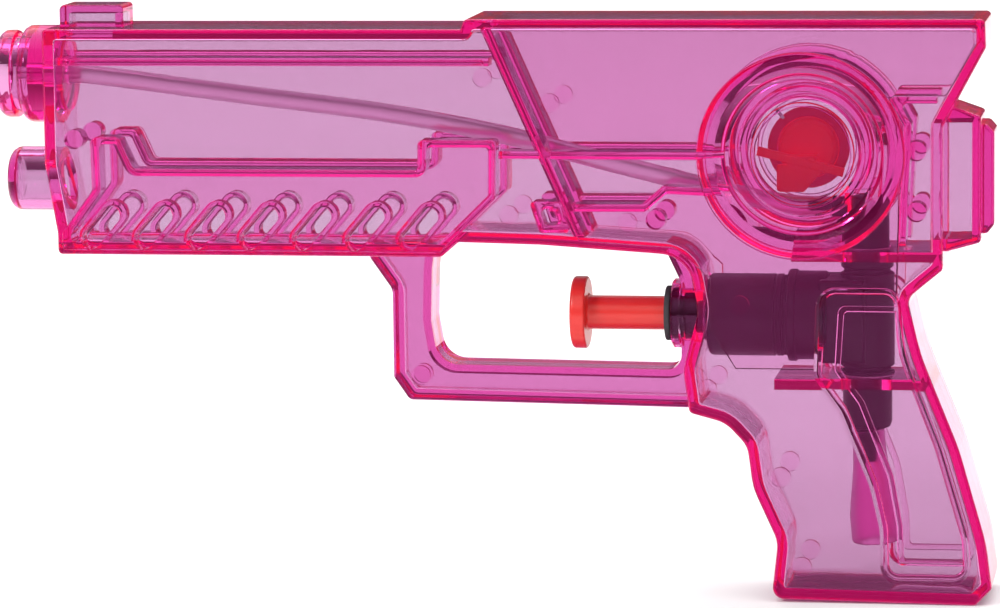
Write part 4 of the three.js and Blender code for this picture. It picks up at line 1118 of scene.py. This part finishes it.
# %% Pump barrel, gland and seals
ROD_R = 3.4
BORE_R = 5.6
BORE_FRONT_X = -28.6
CHAMBER_END_X = -3.4
PUMP_BARREL_X1 = -15.3
GASKET_T = 0.9
GLAND_R = 5.5
GLAND_T = 1.2
ROD_ROOM = 0.3
SEAL_EDGE = 0.3
GASKET_EDGE = 0.2
GASKET_GAP = 0.02


def round_ring(inner, outer, start, end, edge):
    """Profile of a ring with quarter-round outer corners, as (radius, along) pairs."""
    a = np.linspace(0, math.pi / 2, 5)
    first = np.column_stack([outer - edge * (1 - np.sin(a)), start + edge * (1 - np.cos(a))])
    last = np.column_stack([outer - edge * (1 - np.cos(a)), end - edge * (1 - np.sin(a))])
    return [(inner, start)] + first.tolist() + last.tolist() + [(inner, end)]


barrel_profile = [
    (ROD_R + ROD_ROOM, NOSE_X0 + 1.8), (ROD_R + 1.4, NOSE_X0 + 1.8), (ROD_R + 1.4, NOSE_X0),
    (NOSE_R - 0.2, NOSE_X0),
    (NOSE_R, NOSE_X0 + 0.2), (NOSE_R, PUMP_BARREL_X0), (PUMP_BARREL_R - 1.0, PUMP_BARREL_X0),
    (PUMP_BARREL_R - 0.45, PUMP_BARREL_X0 + 0.2), (PUMP_BARREL_R - 0.1, PUMP_BARREL_X0 + 0.6),
    (PUMP_BARREL_R, PUMP_BARREL_X0 + 1.1), (PUMP_BARREL_R, PUMP_BARREL_X1 - 1.7),
    (PUMP_BARREL_R - 0.25, PUMP_BARREL_X1 - 1.6), (PUMP_BARREL_R - 0.25, PUMP_BARREL_X1 - 1.3),
    (PUMP_BARREL_R, PUMP_BARREL_X1 - 1.2), (PUMP_BARREL_R, PUMP_BARREL_X1 - 0.2),
    (PUMP_BARREL_R - 0.2, PUMP_BARREL_X1), (BORE_R, PUMP_BARREL_X1), (BORE_R, BORE_FRONT_X),
    (ROD_R + ROD_ROOM, BORE_FRONT_X),
]
pump_barrel = finish_piece(
    "pump_cylinder", lathe(barrel_profile, "X", PUMP_AT), "frame", black_pp, "pump_barrel",
)
gland_ring = finish_piece(
    "gland_cap", lathe(round_ring(ROD_R + 0.2, GLAND_R, NOSE_X0 - GLAND_T, NOSE_X0, SEAL_EDGE), "X", PUMP_AT),
    "frame", black_rubber, "gland_ring",
)
seal_profile = round_ring(ROD_R + 0.12, ROD_R + 1.25, NOSE_X0 + 0.1, NOSE_X0 + 1.75, SEAL_EDGE)
rod_seal = finish_piece(
    "rod_lip_seal", lathe(seal_profile, "X", PUMP_AT), "frame", black_rubber, "rod_seal",
)
gasket_profile = round_ring(
    BORE_R + 0.1, PUMP_BARREL_R - 0.2,
    PUMP_BARREL_X1 + GASKET_GAP, PUMP_BARREL_X1 + GASKET_T - GASKET_GAP, GASKET_EDGE,
)
barrel_gasket = finish_piece(
    "cylinder_gasket", lathe(gasket_profile, "X", PUMP_AT), "frame", black_rubber, "barrel_gasket",
)

# %% [markdown]
# The valve housing joins a round mouth on the pump line to an upright column. Both are drilled: the pump's
# chamber from the front, the water passage from top to bottom. The elbow and the cap continue the column up
# and down.

# %% Valve housing, elbow and cap
VALVE_TOP_Z = 40.2
VALVE_BOTTOM_Z = 21.4
PASSAGE_R = 1.6
WEB_HALF = 6.8
BALL_R = 2.2
BALL_CAGE_R = 2.8
BALL_LIFT = 1.2
ELBOW_TOP_Z = 55.6
SPIGOT_Z = 53.3
SPIGOT_R = 2.05
SPIGOT_X0 = -5.6
BARB_R = 1.05
BARB_X0 = -10.4
CAP_BOTTOM_Z = 8.8
NIPPLE_R = 2.3
NIPPLE_END_Z = 2.1
HOUSING_END_X = -6.5
WEB_X0 = -8.0
WEB_EDGE = 0.5
VALVE_COLUMN_R = 5.4
ELBOW_FOOT_R = 5.2
CAP_FLANGE_R = 5.4
VALVE_GASKET_R = 4.6
CHAMBER_PORT_R = 1.4
SPIGOT_BORE_R = 0.6
SPIGOT_BORE_X0 = -20
INLET_BORE_R = 1.1
# Levels under and over the pieces between which drills run
DRILL_LOW_Z = -10
DRILL_MIDDLE_Z = 30
DRILL_HIGH_Z = 60
RIB_GAP = 0.05
SPIGOT_AT = (0, 0, SPIGOT_Z)
HOUSING_X0 = PUMP_BARREL_X1 + GASKET_T
ELBOW_Z0 = VALVE_TOP_Z + GASKET_T
CAP_TOP_Z = VALVE_BOTTOM_Z - GASKET_T
SEAT_Z = VALVE_BOTTOM_Z - 2 * BALL_R - BALL_LIFT

mouth_profile = [
    (0, HOUSING_X0), (HOUSING_R - 0.5, HOUSING_X0), (HOUSING_R - 0.15, HOUSING_X0 + 0.15),
    (HOUSING_R, HOUSING_X0 + 0.5), (HOUSING_R, HOUSING_X0 + 1.6), (HOUSING_R - 0.35, HOUSING_X0 + 1.9),
    (HOUSING_R - 0.35, HOUSING_END_X - 0.5), (HOUSING_R - 0.85, HOUSING_END_X), (0, HOUSING_END_X),
]
web_outline = rounded(
    [(WEB_X0, VALVE_BOTTOM_Z + 1.2, 0.8), (COLUMN_X, VALVE_BOTTOM_Z + 1.2, 0),
     (COLUMN_X, VALVE_TOP_Z - 1.0, 0), (WEB_X0, VALVE_TOP_Z - 1.0, 0.8)],
)
web_section = [
    (WEB_EDGE, -WEB_HALF), (0.0, WEB_EDGE - WEB_HALF), (0.0, WEB_HALF - WEB_EDGE), (WEB_EDGE, WEB_HALF),
]
valve_column = [
    (0, VALVE_BOTTOM_Z), (VALVE_COLUMN_R - 0.3, VALVE_BOTTOM_Z), (VALVE_COLUMN_R, VALVE_BOTTOM_Z + 0.3),
    (VALVE_COLUMN_R, VALVE_TOP_Z - 0.3), (VALVE_COLUMN_R - 0.3, VALVE_TOP_Z), (0, VALVE_TOP_Z),
]
valve_mesh = carve(
    lathe(mouth_profile, "X", PUMP_AT),
    [
        (JOIN, prism(web_outline, web_section)),
        (JOIN, lathe(valve_column, "Z", COLUMN_AT)),
        (CUT, rod("X", BORE_R, HOUSING_X0 - 1, CHAMBER_END_X, PUMP_AT)),
        (CUT, rod("X", CHAMBER_PORT_R, CHAMBER_END_X - 1, COLUMN_X, PUMP_AT, SMALL_ROUND_STEPS)),
        (CUT, rod("Z", PASSAGE_R, 0, DRILL_HIGH_Z, COLUMN_AT, SMALL_ROUND_STEPS)),
    ],
)
valve_body = finish_piece("valve_housing", valve_mesh, "frame", black_pp, "valve_body")
elbow_foot_top = UPPER_RIB_Z[0] - RIB_GAP
elbow_profile = [
    (0, ELBOW_Z0), (ELBOW_FOOT_R - 0.3, ELBOW_Z0), (ELBOW_FOOT_R, ELBOW_Z0 + 0.3),
    (ELBOW_FOOT_R, elbow_foot_top), (COLUMN_R, elbow_foot_top), (COLUMN_R, ELBOW_TOP_Z - 0.9),
    (COLUMN_R - 0.25, ELBOW_TOP_Z - 0.3), (COLUMN_R - 0.9, ELBOW_TOP_Z), (0, ELBOW_TOP_Z),
]
barb_profile = [
    (0, BARB_X0), (BARB_R - 0.25, BARB_X0), (BARB_R, BARB_X0 + 1.2), (BARB_R - 0.15, BARB_X0 + 1.3),
    (BARB_R - 0.15, SPIGOT_X0 + 0.1), (0, SPIGOT_X0 + 0.1),
]
cage_top = VALVE_TOP_Z + 2 * BALL_R + BALL_LIFT
elbow_mesh = carve(
    lathe(elbow_profile, "Z", COLUMN_AT),
    [
        (JOIN, rod("X", SPIGOT_R, SPIGOT_X0, COLUMN_X, SPIGOT_AT, MIDDLE_ROUND_STEPS)),
        (JOIN, lathe(barb_profile, "X", SPIGOT_AT, SMALL_ROUND_STEPS)),
        (CUT, rod("Z", BALL_CAGE_R, DRILL_MIDDLE_Z, cage_top, COLUMN_AT, MIDDLE_ROUND_STEPS)),
        (CUT, rod("Z", PASSAGE_R, DRILL_MIDDLE_Z, SPIGOT_Z + SPIGOT_BORE_R, COLUMN_AT, SMALL_ROUND_STEPS)),
        (CUT, rod("X", SPIGOT_BORE_R, SPIGOT_BORE_X0, COLUMN_X, SPIGOT_AT, TINY_ROUND_STEPS)),
    ],
)
outlet_elbow = finish_piece("outlet_elbow_fitting", elbow_mesh, "frame", black_pp, "outlet_elbow")
cap_flange_z = LOWER_RIB_Z[1] + RIB_GAP
cap_profile = [
    (0, NIPPLE_END_Z), (NIPPLE_R - 0.5, NIPPLE_END_Z), (NIPPLE_R, CAP_BOTTOM_Z), (CAP_R - 1.3, CAP_BOTTOM_Z),
    (CAP_R - 0.4, CAP_BOTTOM_Z + 0.4), (CAP_R, CAP_BOTTOM_Z + 1.4), (CAP_R, cap_flange_z),
    (CAP_FLANGE_R, cap_flange_z), (CAP_FLANGE_R, CAP_TOP_Z - 0.2), (CAP_FLANGE_R - 0.2, CAP_TOP_Z),
    (0, CAP_TOP_Z),
]
cap_mesh = carve(
    lathe(cap_profile, "Z", COLUMN_AT),
    [
        (CUT, rod("Z", BALL_CAGE_R, SEAT_Z, DRILL_MIDDLE_Z, COLUMN_AT, MIDDLE_ROUND_STEPS)),
        (CUT, rod("Z", INLET_BORE_R, DRILL_LOW_Z, DRILL_MIDDLE_Z, COLUMN_AT, SMALL_ROUND_STEPS)),
    ],
)
inlet_cap = finish_piece("inlet_valve_cap", cap_mesh, "frame", black_pp, "inlet_cap")


def valve_gasket(name, start, node):
    """A thin rubber ring round the valve passage, lying on the level start."""
    levels = (start + GASKET_GAP, start + GASKET_T - GASKET_GAP)
    profile = round_ring(BALL_CAGE_R + 0.2, VALVE_GASKET_R, *levels, GASKET_EDGE)
    return finish_piece(name, lathe(profile, "Z", COLUMN_AT), "frame", black_rubber, node)


outlet_gasket = valve_gasket("outlet_valve_gasket", VALVE_TOP_Z, "outlet_gasket")
inlet_gasket = valve_gasket("inlet_valve_gasket", CAP_TOP_Z, "inlet_gasket")

# %% [markdown]
# The two valve balls are ground steel. A ball is a lathe of a half circle, so its poles are single points.

# %% Valve balls


def ball(name, z, body, node):
    """A half circle of the ball's radius turned about the column's axis."""
    swing = np.linspace(-math.pi / 2, math.pi / 2, SMALL_ROUND_STEPS // 2 + 1)
    profile = np.column_stack([BALL_R * np.cos(swing), z + BALL_R * np.sin(swing)])
    profile[[0, -1], 0] = 0.0
    mesh = lathe(profile.tolist(), "Z", COLUMN_AT, SMALL_ROUND_STEPS)
    return finish_piece(name, mesh, body, bright_steel, node, weighted=False)


inlet_ball = ball("inlet_check_ball", SEAT_Z + BALL_R, "inlet_valve", "inlet_ball")
outlet_ball = ball("outlet_check_ball", VALVE_TOP_Z + BALL_R, "outlet_valve", "outlet_ball")

# %% [markdown]
# The plunger is one red moulding: a finger button with a rounded rim and a shallow hollow, a plain rod, and
# the piston at its back end with a groove for the rubber cup. The return spring sits behind it.

# %% Plunger, cup and spring
BUTTON_R = 7.25
BUTTON_X0 = -57.9
BUTTON_T = 3.0
BUTTON_FRONT_ROUND = 0.7
BUTTON_BACK_ROUND = 0.5
ROOT_FILLET = 0.7
PISTON_R = 5.2
PISTON_X0 = -28.2
PISTON_T = 4.6
CUP_X0 = -26.6
CUP_T = 1.6
CUP_R = 5.45
CUP_SEAT_R = 4.2
CUP_EDGE = 0.5
CUP_GAP = 0.05
SPRING_R = 4.3
SPRING_WIRE_R = 0.42
SPRING_COILS = 7.5
SPRING_GAP = 0.02

corner = np.linspace(0, math.pi / 2, 6)
button_front = np.column_stack(
    [BUTTON_R - BUTTON_FRONT_ROUND * (1 - np.sin(corner)),
     BUTTON_X0 + BUTTON_FRONT_ROUND * (1 - np.cos(corner))],
)
button_back = np.column_stack(
    [BUTTON_R - BUTTON_BACK_ROUND * (1 - np.cos(corner)),
     BUTTON_X0 + BUTTON_T - BUTTON_BACK_ROUND * (1 - np.sin(corner))],
)
root_fillet = np.column_stack(
    [ROD_R + ROOT_FILLET * (1 - np.sin(corner)), BUTTON_X0 + BUTTON_T + ROOT_FILLET * (1 - np.cos(corner))],
)
plunger_profile = (
    [(0, BUTTON_X0 + 0.8), (BUTTON_R - 3.6, BUTTON_X0 + 0.6), (BUTTON_R - 2.2, BUTTON_X0 + 0.3),
     (BUTTON_R - 1.3, BUTTON_X0 + 0.05)]
    + button_front.tolist() + button_back.tolist() + root_fillet.tolist()
    + [(ROD_R, PISTON_X0), (PISTON_R - 0.2, PISTON_X0), (PISTON_R, PISTON_X0 + 0.2), (PISTON_R, CUP_X0),
       (CUP_SEAT_R, CUP_X0), (CUP_SEAT_R, CUP_X0 + CUP_T), (PISTON_R, CUP_X0 + CUP_T),
       (PISTON_R, PISTON_X0 + PISTON_T - 0.2), (PISTON_R - 0.2, PISTON_X0 + PISTON_T),
       (0, PISTON_X0 + PISTON_T)]
)
plunger = finish_piece(
    "trigger_plunger", lathe(plunger_profile, "X", PUMP_AT, FINE_ROUND_STEPS), "trigger", red_abs, "plunger",
)
cup_profile = round_ring(CUP_SEAT_R + 0.1, CUP_R, CUP_X0 + CUP_GAP, CUP_X0 + CUP_T - CUP_GAP, CUP_EDGE)
piston_cup = finish_piece(
    "piston_cup_seal", lathe(cup_profile, "X", PUMP_AT), "trigger", black_rubber, "piston_cup",
)


def coil_spring(x0, x1, coils, radius, wire, steps=32, sides=12):
    """A wire circle carried along a helix: at each point the circle lies in the radial and the axial
    direction, turned by the helix's pitch angle. Both ends are closed by flat caps."""
    t = np.linspace(0, 1, round(coils * steps) + 1)
    a = 2 * math.pi * coils * t
    radial = np.column_stack([np.zeros_like(a), np.cos(a), np.sin(a)])
    centre = np.column_stack([x0 + (x1 - x0) * t, np.zeros_like(a), np.zeros_like(a)]) + radius * radial
    round_way = 2 * math.pi * coils * radius
    along = np.column_stack([np.full_like(a, x1 - x0), -round_way * np.sin(a), round_way * np.cos(a)])
    along /= np.linalg.norm(along, axis=1)[:, None]
    sideways = np.cross(along, radial)
    b = 2 * math.pi * np.arange(sides) / sides
    ring = np.cos(b)[None, :, None] * radial[:, None, :] + np.sin(b)[None, :, None] * sideways[:, None, :]
    points = (centre[:, None, :] + wire * ring).reshape(-1, 3) + np.array(PUMP_AT, float)
    faces = grid_faces(len(t), sides)
    last = (len(t) - 1) * sides
    faces += [list(range(sides)), list(range(last, last + sides))]
    return mesh_of(points, faces)


SPRING_X0 = PISTON_X0 + PISTON_T + SPRING_WIRE_R + SPRING_GAP
SPRING_X1 = CHAMBER_END_X - SPRING_WIRE_R - SPRING_GAP
return_spring = finish_piece(
    "return_coil_spring", coil_spring(SPRING_X0, SPRING_X1, SPRING_COILS, SPRING_R, SPRING_WIRE_R),
    "frame", bright_steel, "return_spring", weighted=False,
)
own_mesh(return_spring)

# %% [markdown]
# Water goes down the barrel in a soft clear tube, from the elbow to the nozzle jet. The route is a smooth
# curve through the points where the real tube is seen. A shorter, wider tube with a flared foot dips into
# the grip.

# %% Tubes and jet
TUBE_R = 1.9
TUBE_BORE_R = 1.3
TUBE_ROUTE = [
    (JET_END_X + 0.1, MUZZLE_Z), (-158.0, MUZZLE_Z), (-149.0, 78.3), (-123.5, 75.0), (-96.0, 71.6),
    (-72.5, 67.4), (-52.3, 62.3), (-31.2, 57.1), (-16.2, 53.9), (-9.5, SPIGOT_Z), (SPIGOT_X0 - 0.1, SPIGOT_Z),
]


def through_points(route, per_span=14):
    """Catmull-Rom curve through (x, z) points in the plane Y = 0: on each span the cubic whose slope at a
    point is half the step between its two neighbours. The end points are doubled by reflection."""
    p = np.array([(x, 0.0, z) for x, z in route], float)
    p = np.concatenate([[2 * p[0] - p[1]], p, [2 * p[-1] - p[-2]]])
    a, b, c, d = p[:-3, None], p[1:-2, None], p[2:-1, None], p[3:, None]
    t = np.linspace(0, 1, per_span, endpoint=False)[None, :, None]
    curve = b + 0.5 * t * (c - a + t * (2 * a - 5 * b + 4 * c - d + t * (3 * (b - c) + d - a)))
    return np.concatenate([curve.reshape(-1, 3), p[-2:-1]])


tube_path = through_points(TUBE_ROUTE)
tube_length = np.linalg.norm(np.diff(tube_path, axis=0), axis=1).sum()
print("delivery tube", round(float(tube_length), 1), "mm long")
delivery_tube = finish_piece(
    "delivery_hose", tube(tube_path, TUBE_R, TUBE_BORE_R), "frame", clear_pvc, "delivery_tube",
    weighted=False,
)
JET_BORE_R = 0.5
JET_NOSE_R = 1.2
JET_NOSE_X = MOUTH_END_X - 2.4
JET_SPIGOT_END_X = JET_END_X + 2.4
JET_EDGE = 0.2
jet_profile = [
    (JET_BORE_R, JET_NOSE_X), (JET_NOSE_R - 0.3, JET_NOSE_X), (JET_NOSE_R - 0.1, JET_NOSE_X + 0.3),
    (JET_NOSE_R, JET_NOSE_X + 0.9), (JET_NOSE_R, JET_SEAT_X), (JET_R - JET_EDGE, JET_SEAT_X),
    (JET_R, JET_SEAT_X + JET_EDGE), (JET_R, JET_END_X - JET_EDGE), (JET_R - JET_EDGE, JET_END_X),
    (BARB_R, JET_END_X), (BARB_R, JET_SPIGOT_END_X - JET_EDGE), (BARB_R - JET_EDGE, JET_SPIGOT_END_X),
    (JET_BORE_R, JET_SPIGOT_END_X),
]
nozzle_jet = finish_piece(
    "nozzle_jet_insert", lathe(jet_profile, "X", MUZZLE_AT, SMALL_ROUND_STEPS),
    "frame", clear_pvc, "nozzle_jet",
)
DIP_TOP_R = 3.3
DIP_FOOT_R = 5.1
DIP_BORE_R = 2.55
DIP_TOP_X = COLUMN_X + 0.05
DIP_TOP_Z = 8.3
DIP_LENGTH = 22.6
DIP_LEAN = 0.085
dip_profile = [
    (DIP_BORE_R, 0), (DIP_TOP_R - 0.2, 0), (DIP_TOP_R, -0.2), (DIP_TOP_R, -4.0), (DIP_TOP_R + 0.25, -7.0),
    (DIP_TOP_R + 0.7, -10.0), (DIP_TOP_R + 1.3, -13.5), (DIP_FOOT_R, -17.0), (DIP_FOOT_R, -DIP_LENGTH + 0.8),
    (DIP_FOOT_R - 0.25, -DIP_LENGTH + 0.25), (DIP_FOOT_R - 0.8, -DIP_LENGTH), (DIP_FOOT_R - 1.0, -DIP_LENGTH),
    (DIP_FOOT_R - 1.0, -17.0), (DIP_TOP_R, -10.0), (DIP_BORE_R, -5.0),
]
dip_mesh = lathe(dip_profile, "Z", (0, 0, 0), MIDDLE_ROUND_STEPS)
dip_mesh.transform(Matrix.Translation((DIP_TOP_X, 0, DIP_TOP_Z)) @ Matrix.Rotation(-DIP_LEAN, 4, "Y"))
dip_tube = finish_piece("dip_hose", dip_mesh, "frame", pink_pvc, "dip_tube")

# %% [markdown]
# The filler stopper is a soft red plug in the far half's ring. Its head and pull tab are outside, and a
# stem inside carries a flat tongue and a crossbar that keep it from being lost. Through the near window
# only the inside shows.

# %% Filler stopper
STOPPER_HEAD_R = 8.2
STOPPER_HEAD_T = 1.5
STOPPER_PLUG_R = 6.05
STOPPER_PLUG_END = 3.4
ANCHOR_Y = (-2.2, -0.4)
BAR_LENGTH = 17.6
BAR_HEIGHT = 1.7
BAR_AT = (-11.9, 62.2)
BAR_TILT = math.radians(13.9)
TONGUE = [
    (-16.6, 61.6, 0.4), (-16.6, 56.6, 0.5), (-16.0, 56.2, 0.5), (-11.2, 56.2, 0.8), (-7.4, 60.4, 0.6),
    (-8.0, 62.0, 0.4),
]
STEM_X = (-14.6, -8.8)
STEM_Z = (60.6, 63.2)
TAB = [(-16.0, 63.1, 1), (-6.0, 63.1, 1), (-6.0, 65.5, 1), (-16.0, 65.5, 1)]
TAB_END_Y = 12.4
TAB_EDGE = 0.35
SLAB_EDGE = 0.2
HEAD_Y = DISH_FLOOR_HALF
HEAD_END_Y = HEAD_Y + STOPPER_HEAD_T
HEAD_SEAT_Y = HEAD_Y + 0.02


def soft_slab(outline, y0, y1, edge):
    """A flat slab along Y whose two faces have chamfered edges."""
    return prism(outline, [(edge, y0), (0.0, y0 + edge), (0.0, y1 - edge), (edge, y1)])


stopper_profile = [
    (0, STOPPER_PLUG_END), (STOPPER_PLUG_R - 0.9, STOPPER_PLUG_END),
    (STOPPER_PLUG_R - 0.25, STOPPER_PLUG_END + 0.5), (STOPPER_PLUG_R, STOPPER_PLUG_END + 1.2),
    (STOPPER_PLUG_R, HEAD_SEAT_Y), (STOPPER_HEAD_R, HEAD_SEAT_Y), (STOPPER_HEAD_R, HEAD_END_Y - 0.5),
    (STOPPER_HEAD_R - 0.15, HEAD_END_Y - 0.15), (STOPPER_HEAD_R - 0.5, HEAD_END_Y), (0, HEAD_END_Y),
]
bar_mesh = soft_slab(
    rectangle(-BAR_LENGTH / 2, BAR_LENGTH / 2, -BAR_HEIGHT / 2, BAR_HEIGHT / 2), *ANCHOR_Y, SLAB_EDGE,
)
bar_mesh.transform(Matrix.Translation((BAR_AT[0], 0, BAR_AT[1])) @ Matrix.Rotation(BAR_TILT, 4, "Y"))
stem_levels = (ANCHOR_Y[0] + 0.2, STOPPER_PLUG_END + 0.5)
stopper_mesh = carve(
    lathe(stopper_profile, "Y", RING_AT),
    [
        (JOIN, soft_slab(rounded(TAB), HEAD_Y + 1, TAB_END_Y, TAB_EDGE)),
        (JOIN, soft_slab(rounded(TONGUE), ANCHOR_Y[0] + 0.15, ANCHOR_Y[1] - 0.05, SLAB_EDGE)),
        (JOIN, bar_mesh),
        (JOIN, soft_slab(rectangle(*STEM_X, *STEM_Z), *stem_levels, SLAB_EDGE)),
    ],
)
filler_stopper = finish_piece("filler_stopper_plug", stopper_mesh, "stopper", red_pvc, "filler_stopper")

# %% [markdown]

# %% [markdown]
# Floor and light. The floor is a wide pale disc, which is what shows straight through the toy. The sky is
# neutral, grey at the horizon and white above. A large overhead softbox and a weaker one at the front left
# make long soft highlights on the edges.

# %% Floor and light
FLOOR_Z = -24.95
FLOOR_R = 6000.0
FLOOR_T = 5.0
paper, tree, output = start_material("pale_studio_paper")
fibre = noise(tree, 40.0, 2.0)
surface(
    tree, output, {"Roughness": 0.9, "Specular IOR Level": 0.1},
    {"Base Color": ramp(tree, fibre, (0.0, "#F4F3F3"), (1.0, "#F7F6F6"))},
)
floor_mesh = rod("Z", FLOOR_R, FLOOR_Z - FLOOR_T, FLOOR_Z, (0, 0, 0), FINE_ROUND_STEPS)
to_metres(floor_mesh)
floor_mesh.materials.append(paper)
floor = bpy.data.objects.new("floor", floor_mesh)
bpy.context.scene.collection.objects.link(floor)

world = bpy.data.worlds.new("studio")
world.use_nodes = True
bpy.context.scene.world = world
sky_tree = world.node_tree
sky = sky_tree.nodes["Background"]
sky.inputs["Strength"].default_value = 1.0
direction = add(sky_tree, "ShaderNodeTexCoord")
height = add(sky_tree, "ShaderNodeSeparateXYZ", links={"Vector": direction.outputs["Generated"]})
sky_colour = ramp(sky_tree, height.outputs["Z"], (0.1, "#505050"), (0.5, "#FFFFFF"))
sky_tree.links.new(sky_colour, sky.inputs["Color"])


def softbox(name, at, towards, size, watts):
    """A rectangular area light at a point, facing another, both in metres."""
    data = bpy.data.lights.new(name, "AREA")
    data.shape = "RECTANGLE"
    data.size, data.size_y = size
    data.energy = watts
    light = bpy.data.objects.new(name, data)
    bpy.context.scene.collection.objects.link(light)
    back = np.array(at, float) - np.array(towards, float)
    back /= np.linalg.norm(back)
    right = np.cross((0.0, 0.0, 1.0) if abs(back[2]) < 0.99 else (0.0, 1.0, 0.0), back)
    right /= np.linalg.norm(right)
    matrix = np.eye(4)
    matrix[:3, 0], matrix[:3, 1], matrix[:3, 2] = right, np.cross(back, right), back
    matrix[:3, 3] = at
    light.matrix_world = Matrix(matrix.tolist())
    return light


softbox("overhead", (-0.1, 0.7, 2.0), (-0.07, 0.6, 0.0), (3.2, 3.2), 46.0)
softbox("front_left", (-0.9, -1.0, 0.9), (-0.07, 0.0, 0.05), (0.25, 0.35), 7.5)
scene = bpy.context.scene
scene.view_settings.view_transform = "Standard"
scene.cycles.max_bounces = 24
scene.cycles.transmission_bounces = 24
scene.cycles.glossy_bounces = 12
